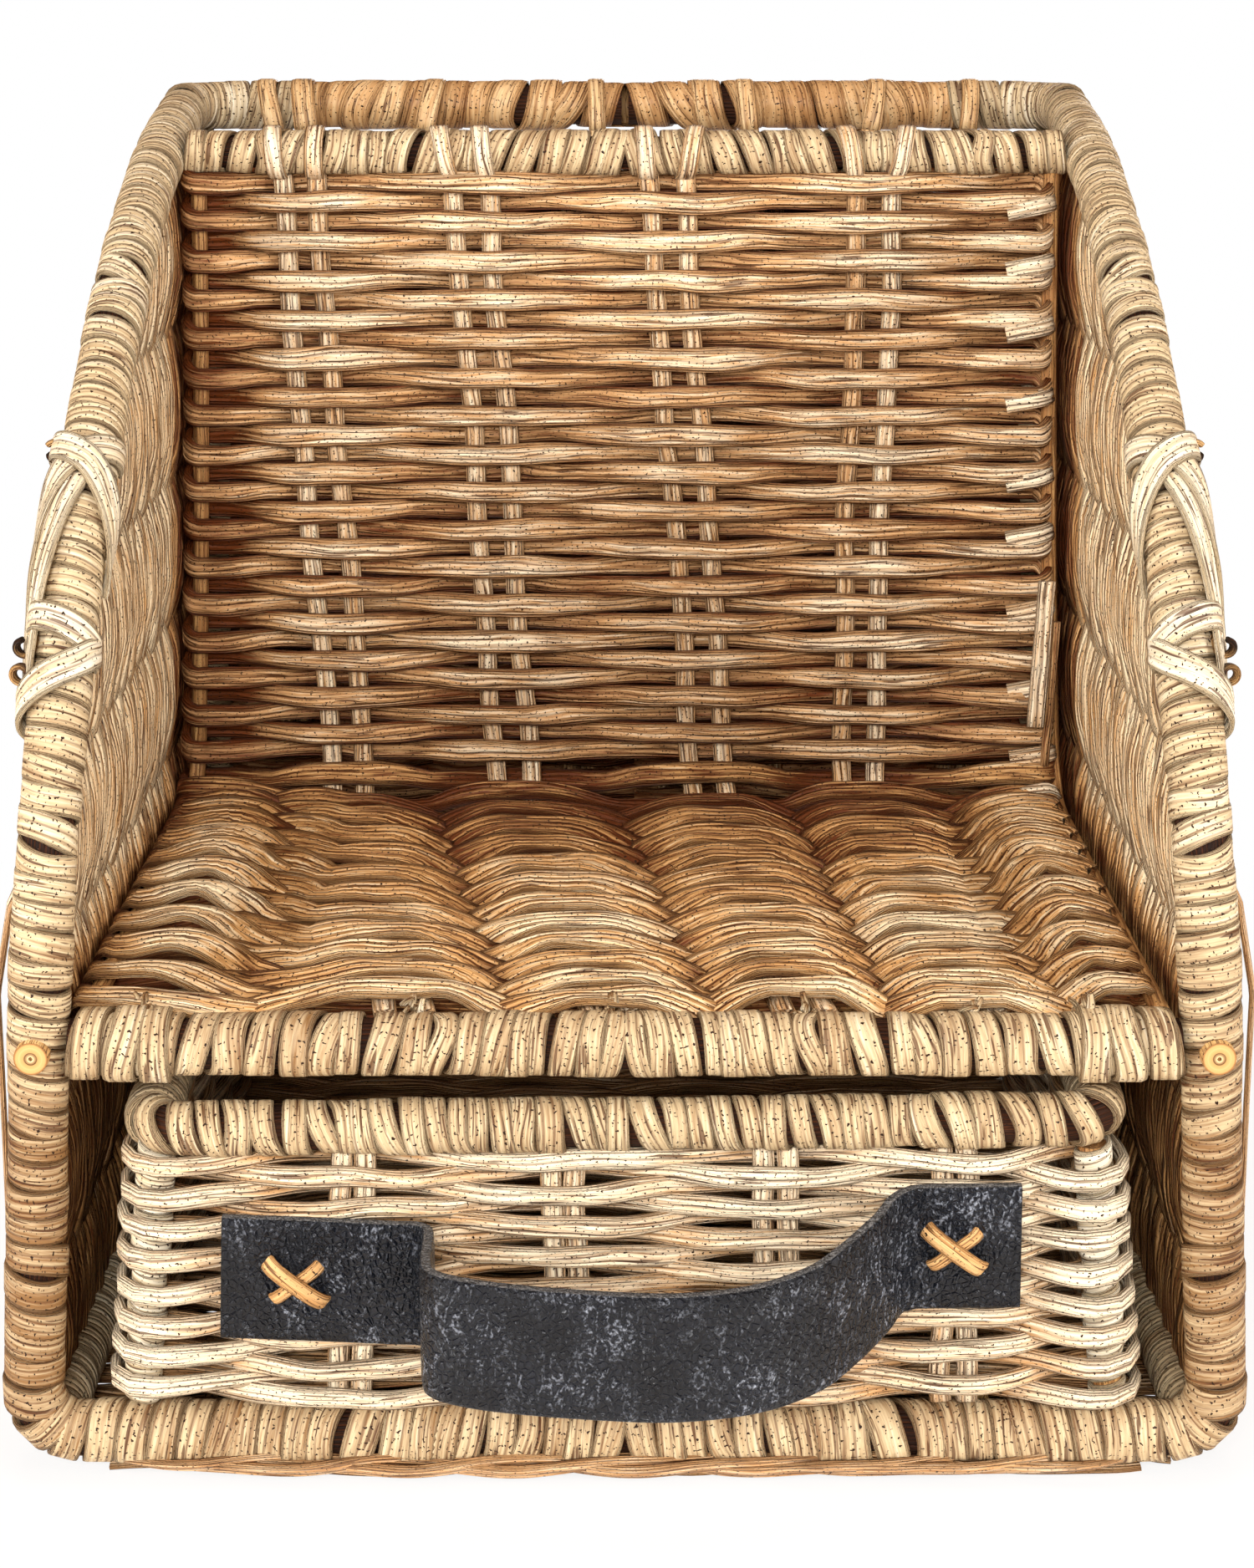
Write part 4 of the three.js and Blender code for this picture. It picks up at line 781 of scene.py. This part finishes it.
# Shelf front rail: a wound cane between the posts, with slanting wider turns at its ends, and
# the round rods of the side walls, cut off square beside the posts.
rail_half_x = frame_half(shelf_rise) - cane_radius - 0.3
rng = np.random.default_rng(61)
rail_line = points(np.linspace(0, rail_half_x, 140), 0, shelf_rise)
wound_cane("shelf_rail_wound", rail_line, -to_top, 7.2, 6.4, 6.35, 1.5, rng, ["shelf_front_rail"],
           slant=1.3, unevenness=0.24, tone=0.36)
rail_line = points(np.linspace(-rail_half_x, rail_half_x, 20), 0, shelf_rise)
round_cane("shelf_rail_core", rail_line[None], to_top, 11.6, mirror=False)
end_line = points(np.linspace(rail_half_x - 22, rail_half_x - 0.3, 30), 0, shelf_rise)
wound_cane("shelf_rail_ends_wound", end_line, -to_top, 8.4, 6.6, 7.2, 1.8, rng,
           ["shelf_lash_right", "shelf_lash_left"], slant=2.5, tone=0.38)
rod_x = float(frame_half(shelf_rise))
run = np.linspace(rod_front_run, post_run - post_radius, 60)[None]
round_cane("shelf_rods_bare", points(rod_x, run, shelf_rise), to_top, 7.8, 0.5, bare_rattan,
           ["shelf_rod_right", "shelf_rod_left"], sides=20)


# Lashings: flat strips that bind the hoop to the rim, and the lower lashing of each post. Each
# strip is laid through marks: an angle round the cane, millimetres along it, and height off it.
def curve_through(marks, count):
    """So many points on a smooth curve through the marks: a cubic between each two, whose slope
    at a mark is half the step from the mark before it to the mark after it."""
    marks = np.asarray(marks, float)
    t = np.linspace(0, len(marks) - 1, count)
    k = np.clip(t.astype(int), 0, len(marks) - 2)
    s = (t - k)[:, None]
    before, a, b, after = [marks[np.clip(k + step, 0, len(marks) - 1)] for step in (-1, 0, 1, 2)]
    square = 2 * before - 5 * a + 4 * b - after
    cube = 3 * a - before - 3 * b + after
    return 0.5 * (2 * a + (b - before) * s + square * s**2 + cube * s**3)


def laid(line, outward, marks, radius):
    """The path of a strip laid on a cane through its marks, and its outward direction."""
    tangent, side = directions(line, outward)
    front = np.cross(side, tangent)
    at = curve_through(marks, 12 * (len(marks) - 1) + 1)
    place = at[:, 1] / np.linalg.norm(np.diff(line, axis=0), axis=1).mean()
    rows = np.arange(len(line))
    angle = np.radians(at[:, :1])
    out = sampled(place, rows, front) * np.cos(angle) + sampled(place, rows, side) * np.sin(angle)
    return sampled(place, rows, line) + out * (radius + at[:, 2:]), out


upper_at = joint - 7
lower_at = int(np.argmax((line[:, 2] > lower_lashing_rise) & (line[:, 0] > 0)))
upper_strips = [
    [[112, -42, 0.3], [94, -32, 1.5], [84, -20, 2.4], [68, -7, 2.2], [36, 3, 2.0], [0, 8, 1.9],
     [-50, 11, 1.4], [-110, 12, 0.4]],
    [[-125, -23, 0.2], [-103, -17, 0.8], [-74, -8, 1.2], [-32, 2, 2.0], [8, 8, 3.4], [60, 12, 2.0],
     [120, 13, 0.4]],
    [[6, 3, 0.9], [32, -8, 1.4], [52, -24, 1.6], [64, -40, 1.2], [76, -52, 0.3]]]
lower_strips = [
    [[-110, 7, 0.3], [-60, 4, 1.6], [-30, 1, 2.4], [20, -4, 2.6], [70, -9, 2.0], [120, -12, 0.2]],
    [[-100, 4, 0.3], [-55, 6, 1.4], [0, 10, 2.2], [60, 12, 1.8], [120, 10, 0.2]]]
for k, start, strips in (("upper", upper_at, upper_strips), ("lower", lower_at, lower_strips)):
    strips = [laid(line, frame_out, np.add(marks, [0, start, 0]), cane_radius) for marks in strips]
    longest = max(len(path) for path, _ in strips)
    paths, outs = [
        [sampled(np.linspace(0, len(row) - 1, longest), np.arange(len(row)), row) for row in rows]
        for rows in zip(*strips)]
    strands(f"{k}_lashing_strips", "wrapped_cane", paths, outs, 7.4, 1.4, 0.7, wrapped_rattan,
            [f"{k}_lash_right", f"{k}_lash_left"], **flat_strip)


# Cut ends: beside the lashings thin strips curl over with dark tips, and frayed bunches stand
# along the shelf rail. Stubs and folds show at the bay's edges, and ties behind the back rail.
frayed_rattan = split_rattan("split_rattan_frayed", "ecd3a2", "b58a56", "1f140c", 0.9, 0.0005, 0.6)


def bunch(places, way, count, length, spread, width, rng):
    """Thin tapering fibres that start within a millimetre or two of each place, and lean apart."""
    places = np.repeat(places, count, 0)[:, None]
    ways = way / np.linalg.norm(way) + rng.normal(0, spread, (len(places), 3))
    share = np.linspace(0, 1, 7)
    curl = rng.normal(0, spread, ways.shape)
    reach = length * rng.uniform(0.55, 1.1, (len(ways), 1, 1))
    start = places + rng.normal(0, 1.1, (len(ways), 1, 3))
    out = ways[:, None] * share[:, None] + curl[:, None] * share[:, None] ** 2
    hint = rng.normal(0, 1, (len(ways), 1, 3))
    widths = width * (1 - 0.35 * share) * rng.uniform(0.6, 1.2, (len(ways), 1))
    tone = 0.7 - 0.9 * share**2 * rng.uniform(0.3, 1.2, (len(ways), 1))
    return start + out * reach, hint, widths, 0.45 * widths, tone


rng = np.random.default_rng(81)
spots = np.array([line[upper_at + 12] + [7.0, -3.0, 2], line[upper_at + 6] + [6.6, -2.0, 0],
                  line[lower_at + 7] + [8.2, -3.5, 1], line[lower_at + 1] + [8.6, -3.0, 0]])
share = np.linspace(0, 1, 26)
turn = 2 * math.pi * (0.9 * share + column([0.1, 0.45, 0.3, 0.75]))
reach = (2.8 - 1.3 * share) * column([1.0, 0.8, 1.1, 0.9])
curled = spots[:, None] + points(reach * np.cos(turn), 0.8 - 2.5 * share, reach * np.sin(turn))
strands("lashing_cut_ends", "wrapped_cane", curled, [0.25, -1.0, 0], 1.5, 2.6, 0.5 - 0.8 * share**2,
        frayed_rattan, mirror=True)
frayed = bunch(line[lower_at + 2] + [[1.0, -7.5, 0]], [0.3, -1, 0.1], 10, 4.0, 0.25, 1.3, rng)
strands("lashing_inner_ends", "wrapped_cane", *frayed, wrapped_rattan, sides=6, mirror=True)
spots = points([-108.0, -49, -3, 41, 79, 104], 3.2, shelf_rise + 6.0)
frayed = bunch(spots, [0.1, -0.5, 1.0], 7, 4.0, 0.25, 2.6, rng)
strands("shelf_stake_ends", "woven_cane", *frayed, wrapped_rattan, sides=6)
loose = [115.5, insert_run - 7, 125] + column(np.linspace(0, 1, 12)) * [2.0, 0, 42]
strands("bay_loose_stub", "woven_cane", [loose, loose + [3.2, 1.6, -12]], -to_back, [[5.0], [2.6]], 1.8,
        [[0.85], [0.4]], woven_rattan)

# Strip ends laid over the bay's right edge
marks = column([9.0, 24, 41, 62, 83, 100, 121, 143, 164, 178])
share = np.linspace(0, 1, 10)
edge_at = np.interp(marks, levels, right_edge)
past_edge = 4.2 - 12.5 * share
place, facing = bay_surface(edge_at + past_edge, marks + 2.6 * share + rng.uniform(-1, 1, marks.shape))
height = 4.6 - 1.2 * share - 3.2 * np.clip(past_edge / 4.2, 0, 1) ** 2
strands("bay_edge_cut_ends", "woven_cane", place + facing * column(height), facing,
        rng.uniform(4.6, 5.8, (10, 1)), 2.6, rng.uniform(0.8, 1.0, (10, 1)), woven_rattan)

# Two strips that stand loose on the outside of each wall, below the shelf rod
share = np.linspace(0, 1, 50)
rise = 142 - 118 * share
stand_off = 3.2 + np.interp(share, [0, 0.12, 0.3, 0.6, 0.9, 1], [-2, 4.5, 7.6, 6.0, 4.5, 0])
loose = points(frame_half(rise) + stand_off, 5 + 4 * share, rise)
strands("side_loose_strips", "woven_cane", [loose, loose * [1, 1, 0.9] + [-1.2, 9, 4]], [1.0, -0.3, 0],
        4.4, 1.4, 0.62, woven_rattan, mirror=True)

# The bay's stakes fold over its top rail, and ties hold the back wall's rod to the back rail
folds = column(pairs[:, :1] + [-half_pair, half_pair])
turn = np.radians(np.linspace(-95, 80, 16))
x = folds + rng.uniform(-4, 4, (8, 1)) * np.linspace(0, 1, 16)
folded = points(x, insert_run - 6.7 * np.cos(turn), insert_rail_rise + 6.7 * np.sin(turn))
strands("bay_stake_folds", "woven_cane", folded, points(0, -np.cos(turn), np.sin(turn)), 5.2, 1.6,
        rng.uniform(0.75, 0.95, (8, 1)), woven_rattan)
turn = np.linspace(0, 2 * math.pi, 33)
x = column([-101.0, -92, -58, -8, 36, 71, 99]) + 3.0 * np.sin(turn) * rng.uniform(-1, 1, (7, 1))
rise = (back_rail_rise + rod_rise) / 2 + 13.5 * np.sin(turn)
tied = points(x, frame_depth - 3 - 9.0 * np.cos(turn), rise)
strands("back_rail_ties", "wrapped_cane", tied, points(0, -np.cos(turn), np.sin(turn)),
        rng.uniform(5, 7.5, (7, 1)), 1.5, 0.66, smooth_rattan)

# The cut ends of the side rods show the pith in rings, and a dark rim that is painted shadow round the cut
# end
spokes = 24
rings = column([0.0, 0.5, 1.0, 1.3, 2.5, 3.3, 3.8])
ring_tones = [0.95, 0.95, 0.8, 0.5, 0.5, 0.35, -0.2]
angle = np.linspace(0, 2 * math.pi, spokes, endpoint=False)
cut_run = rod_front_run - 0.4
corners = points(rod_x + rings * np.cos(angle), cut_run, shelf_rise + rings * np.sin(angle))
number = np.arange(rings.size * spokes).reshape(-1, spokes)
ahead = np.roll(number, -1, 1)
faces = np.stack([number[1:-1], ahead[1:-1], ahead[2:], number[2:]], -1).reshape(-1, 4)
for k, way in (("right", 1), ("left", -1)):
    disc = bpy.data.meshes.new(f"rod_cut_face_{k}")
    placed = (corners * [way, 1, 1] + [0, front_run, stand_rise]) / 1000
    disc.from_pydata(placed.reshape(-1, 3).tolist(), [], faces[:, ::way].tolist())
    tones = disc.attributes.new("tone", "FLOAT", "POINT")
    tones.data.foreach_set("value", np.repeat(ring_tones, spokes).astype(np.float32))
    grain = np.array([loop.vertex_index for loop in disc.loops]) // spokes * 0.3
    disc.uv_layers.new(name="grain_mm").data.foreach_set("uv", grain.repeat(2).astype(np.float32))
    disc.materials.append(bare_rattan)
    carried(add_object(f"rod_cut_face_{k}", disc), "carcass", "bare_cane")


# Drawer: four woven walls round upright stakes, a woven floor, and a wound rim on top. One strip
# winds up round the walls in a spiral. Places round them are shares of one turn of the outline.
drawer_foot = cane_radius + 0.35
drawer_box = [v * 1000 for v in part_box("drawer_rim")]
drawer_rim_radius = 6.5
drawer_rim_rise = (drawer_box[0].z + drawer_box[1].z) / 2 - stand_rise - 1.0
drawer_depth = drawer_box[1].y - drawer_box[0].y - 2 * drawer_rim_radius
drawer_top_half = drawer_box[1].x - drawer_rim_radius + 2.2
drawer_foot_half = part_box("drawer_stake_front_right")[1].x * 1000 - 4
drawer_corner_radius = 6.0
wall_top = drawer_rim_rise - drawer_rim_radius


def drawer_half(rise):
    """Half width of the drawer at a height, a little narrower at the top."""
    share = (rise - drawer_foot) / (wall_top - drawer_foot)
    return drawer_foot_half + (drawer_top_half - drawer_foot_half) * share


def rounded_rectangle(share, half, depth, radius):
    """Point and outward normal at a share of the way round a rectangle with round corners, from
    the middle of its front, by the lengths of its four straight runs and four quarter turns."""
    share, half = np.broadcast_arrays(share, half)
    quarter = math.pi * radius / 2 + 0 * half
    side_run = depth - 2 * radius + 0 * half
    across = half - radius
    lengths = [0 * half, across, quarter, side_run, quarter, 2 * across, quarter, side_run, quarter, across]
    marks = np.cumsum(np.stack(lengths, -1), -1)
    s = (share % 1.0) * marks[..., -1]
    k = np.clip((s[..., None] >= marks[..., 1:]).sum(-1), 0, 8)
    local = s - np.take_along_axis(marks, k[..., None], -1)[..., 0]
    straight = k % 2 == 0
    heading = k // 2 * math.pi / 2 + np.where(straight, 0, local / radius)
    # Where each straight run starts, or each quarter turn has its centre
    x = np.array([0, 1, 1, 1, 1, -1, -1, -1, -1])[k] * across
    x = x + np.array([0, 0, 1, 0, 0, 0, -1, 0, 0])[k] * radius
    y = np.array([0, radius, radius, depth - radius, depth, depth - radius, depth - radius, radius, 0])[k]
    x = x + np.where(straight, local * np.cos(heading), radius * np.sin(heading))
    y = y + np.where(straight, local * np.sin(heading), -radius * np.cos(heading))
    return x, y, np.sin(heading), -np.cos(heading)


def drawer_outline(share, rise):
    """Point and outward normal on the drawer's walls, at a share of the way round and a height."""
    return rounded_rectangle(share, drawer_half(rise), drawer_depth, drawer_corner_radius)


turns = 15
rng = np.random.default_rng(71)
middle_half = (drawer_top_half + drawer_foot_half) / 2
total = 2 * (2 * middle_half + drawer_depth) - (8 - 2 * math.pi) * drawer_corner_radius
share = np.linspace(-0.5, turns + 0.5, int(turns * total / 3.0))
along = share[None] * total
rise = drawer_foot + 2.6 + np.clip(share, 0, turns) / turns * (wall_top - drawer_foot - 4.0)
wave = drift(1, along, 75, 0.6, rng)[0]
# Stakes stand at four places in front, at the corners, and evenly on the sides and the back
front_pairs = np.array([-63.0, -14, 35, 76])
turned = (middle_half - drawer_corner_radius * (1 - math.pi / 4)) / total
corner_share = np.array([turned, 0.5 - turned, 0.5 + turned, 1 - turned])
between = [np.linspace(corner_share[k], corner_share[k + 1], n + 2)[1:-1] for k, n in enumerate((3, 4, 4))]
ring = np.sort(np.concatenate([(front_pairs / total) % 1.0, corner_share, *between]))
marks = (ring[None] + np.arange(-2, turns + 2)[:, None]).ravel()
pair_share = 3.5 / total
spots = (column(marks) + [-pair_share, pair_share]).ravel()
passed = np.interp(share, spots, np.repeat(np.arange(len(marks)), 2))
is_corner = np.isin(np.round(marks % 1.0, 6), np.round(corner_share, 6))
lift = np.interp(share, marks, np.where(is_corner, 5.6, 3.2))
offset = lift * np.cos(math.pi * passed) + drift(1, along, 40, 0.2, rng)[0]
x, y, nx, ny = drawer_outline(share, rise)
path = points(x + nx * offset, y + ny * offset, rise + wave)
widths = 5.0 * (1 + drift(1, along, 60, 0.1, rng))
thicks = 2.5 * (1 + drift(1, along, 45, 0.08, rng))
# Painted shade: the strip is darker where it passes behind a stake
shade = 1.04 + drift(1, along, 330, 0.14, rng) - 0.4 * (0.5 - offset / 8)
strands("drawer_weavers", "woven_cane", path[None], points(nx, ny, 0), widths, thicks, shade, woven_rattan,
        ["drawer_front", "drawer_back", "drawer_side_right", "drawer_side_left"], "drawer", edge=0.3)

upright = np.linspace(drawer_foot + 0.5, wall_top + 1, 30)[None]
middles = column(np.setdiff1d(np.round(ring, 6), np.round(corner_share, 6)))
for k, step in (("left", -2.9), ("right", 2.9)):
    sway = drift(len(middles), upright, 70, 0.6 / total, rng)
    x, y, nx, ny = drawer_outline(middles + step / total + sway, upright)
    strands(f"drawer_stakes_{k}", "woven_cane", points(x, y, upright), points(nx, ny, 0), 5.2, 2.6, 0.85,
            woven_rattan, body="drawer")
for k, run in (("front", 2.0), ("back", drawer_depth - 2.0)):
    stake_line = points(drawer_half(upright) - 2.0, run, upright)
    round_cane(f"drawer_corner_stakes_{k}", stake_line, to_back, 7.0, 0.2, bare_rattan,
               [f"drawer_stake_{k}_right", f"drawer_stake_{k}_left"], "woven_cane", "drawer", sides=14)
    wound_cane(f"drawer_corners_wound_{k}", stake_line[0], to_right, 4.5, 4.9, 5.0, 1.3, rng,
               body="drawer", section={"flat": 0.4, "full": 0.6, "mirror": True}, tone=0.75)
x, y, nx, ny = rounded_rectangle(np.linspace(0, 1, 900), drawer_top_half, drawer_depth, 9.0)
rim_path = points(x, y, drawer_rim_rise + 1.3 * x / drawer_top_half)
rim_side = points(nx, ny, 0)
wound_cane("drawer_rim_wound", rim_path, rim_side, 6.2, 5.8, 5.8, 1.8, rng, ["drawer_rim"], "drawer",
           {"flat": 0.3, "full": 0.42}, slant=1.0, unevenness=0.22)
round_cane("drawer_rim_core", rim_path[None, ::6], rim_side[None, ::6], 10.4, body="drawer", mirror=False)


def drawer_floor_surface(x, run):
    """The drawer's woven floor, facing up."""
    return points(x, run, drawer_foot + 3.2), to_top


levels = np.arange(7, drawer_depth - 5, 5.2)
floor_half = float(drawer_half(drawer_foot)) - 4
ends = np.broadcast_to([-floor_half, floor_half], (len(levels), 2))
stakes = np.broadcast_to(np.linspace(-115, 115, 6), (len(levels), 6))
floor_rows = weavers(drawer_floor_surface, levels, ends, stakes, 1.6, 4, rng, 7.5, 2.2)
strands("drawer_floor_weavers", "woven_cane", *floor_rows, woven_rattan, ["drawer_floor"], "drawer")


# Strap handle: one strip of black leather, 30 mm wide and nearly 3 mm thick, cut with raw edges.
# It lies flat on the drawer at its two ends and stands off it in a loop between them.
leather, tree = empty_material("black_leather_milled")
spot = add_node(tree, "ShaderNodeTexCoord").outputs["Object"]


def leather_noise(scale, detail):
    """A noise over the leather, with so many units to a metre."""
    inputs = {"Vector": spot, "Scale": scale, "Detail": detail}
    return add_node(tree, "ShaderNodeTexNoise", inputs=inputs).outputs["Fac"]


def two_colours(value, low, low_colour, high, high_colour):
    """One colour up to the low value, another from the high value on, and blends between."""
    stops = [(low, linear(low_colour)), (high, linear(high_colour))]
    return add_node(tree, "ShaderNodeValToRGB", inputs={"Fac": value}, stops=stops).outputs["Color"]


# Pebbles of leather grain about 1.6 mm across, and upright creases nearly 3 mm apart
cells = {"Vector": spot, "Scale": 620.0}
pebble = add_node(tree, "ShaderNodeTexVoronoi", {"feature": "DISTANCE_TO_EDGE"}, cells).outputs["Distance"]
tall = add_node(tree, "ShaderNodeVectorMath", {"operation": "MULTIPLY"}, {0: spot, 1: (1, 1, 0.5)})
ridges = {"Vector": tall.outputs[0], "Scale": 360.0, "Detail": 3.0, "Roughness": 0.6, "Distortion": 0.6,
          "Offset": 1.0, "Gain": 1.6}
crease = add_node(tree, "ShaderNodeTexNoise", {"noise_type": "RIDGED_MULTIFRACTAL"}, ridges).outputs["Fac"]
height = calculate(tree, "MULTIPLY_ADD", crease, 0.8, step_up(tree, pebble, 0.0, 0.2))
bump = add_node(tree, "ShaderNodeBump", inputs={"Strength": 1.0, "Distance": 0.0009, "Height": height})
# Painted highlight: in patches about 17 mm wide the tops of the creases are coloured pale grey, broken up
# every 0.8 mm or so
tone_and_highlight_patches = leather_noise(60.0, 4.0)
black = two_colours(tone_and_highlight_patches, 0.3, "0b0e14", 0.75, "191d26")
broken = step_up(tree, leather_noise(1300.0, 1.0), 0.42, 0.66)
painted_highlight = calculate(tree, "MULTIPLY", step_up(tree, crease, 1.3, 1.7), broken)
painted_highlight = calculate(tree, "MULTIPLY", painted_highlight, step_up(tree, tone_and_highlight_patches, 0.38, 0.66))
black = mix_colours(tree, painted_highlight, black, linear("8b909a"))
# The cut edges show the grey fibrous inside: they are the faces that look up or down
normal = add_node(tree, "ShaderNodeNewGeometry").outputs["Normal"]
upward = add_node(tree, "ShaderNodeSeparateXYZ", inputs={"Vector": normal}).outputs["Z"]
cut = step_up(tree, calculate(tree, "ABSOLUTE", upward), 0.6, 0.85)
grey = two_colours(leather_noise(2200.0, 3.0), 0.35, "2e2e30", 0.65, "7c7976")
gloss = add_node(tree, "ShaderNodeMapRange", inputs={"Value": cut, "To Min": 0.27, "To Max": 0.9})
look = {"Base Color": mix_colours(tree, cut, black, grey), "Roughness": gloss.outputs[0],
        "Specular IOR Level": 0.35, "Normal": bump.outputs["Normal"]}
shader = add_node(tree, "ShaderNodeBsdfPrincipled", inputs=look)
add_node(tree, "ShaderNodeOutputMaterial", inputs={"Surface": shader.outputs[0]})

# The strap's route in x, distance in front of the drawer, and rise
strap_route = np.array([
    [-92, 0, 2.6], [-72, 0, 1.8], [-53, 0, 0.9], [-47.4, 0.4, 0.9], [-44.8, 2.6, 1.0], [-44.2, 7, 1.3],
    [-44, 13, 1.9], [-43.8, 20.5, 2.5], [-42.4, 26, 2.7], [-37, 28.9, 2.4], [-26, 30.3, 1.3], [-7, 31, 0],
    [11, 31, -0.6], [28, 28.5, 0], [41, 23.6, 2.0], [49.5, 17, 4.6], [56.8, 9.3, 7.4], [61.4, 3.1, 9.3],
    [64.7, 0.6, 9.7], [68, 0, 9.9], [75, 0, 10], [90, 0, 10.2]])
strap_box = [v * 1000 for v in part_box("leather_strap")]
strap_rise = strap_box[0].z - stand_rise + 15.7
strap_run = -6.7
strap_line = even(curve_through(strap_route * [1, -1, 1] + [0, strap_run, strap_rise], 400), 0.8)
facing = np.cross(np.gradient(strap_line, axis=0), to_top)
strands("leather_strap_cut", "black_leather", strap_line[None], facing, 30.0, 2.8, 0.5, leather,
        ["leather_strap"], "drawer", sides=24, flat=0.25, full=0.25)


# Ties: two crossing strips of honey-coloured cane at each end, pushed through the leather.
tie_rattan = split_rattan("tie_cane_split", "e6bd84", "c08c54", "80522a", 0.7, 0.0004, 0.42)
tie_run = strap_run - 1.95
share = np.linspace(-1, 1, 25)
for k in ("left", "right"):
    tie_box = [v * 1000 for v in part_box(f"strap_tie_{k}")]
    tie_x = (tie_box[0].x + tie_box[1].x) / 2
    tie_rise = (tie_box[0].z + tie_box[1].z) / 2 - stand_rise
    crossed = []
    for slope, hump, reach in ((0.77, 0.0, 5.8), (-0.77, 0.9, 7.0)):
        run = tie_run - (1 - share**6) * (0.5 + hump * (1 - share**2)) + share**8 * 1.6
        crossed.append(points(tie_x + share * reach, run, tie_rise + share * slope * reach))
    strands(f"strap_tie_{k}_strips", "tie_cane", crossed, -to_back, [[3.2], [4.2]], 1.1, 0.7, tie_rattan,
            [f"strap_tie_{k}"], "drawer")
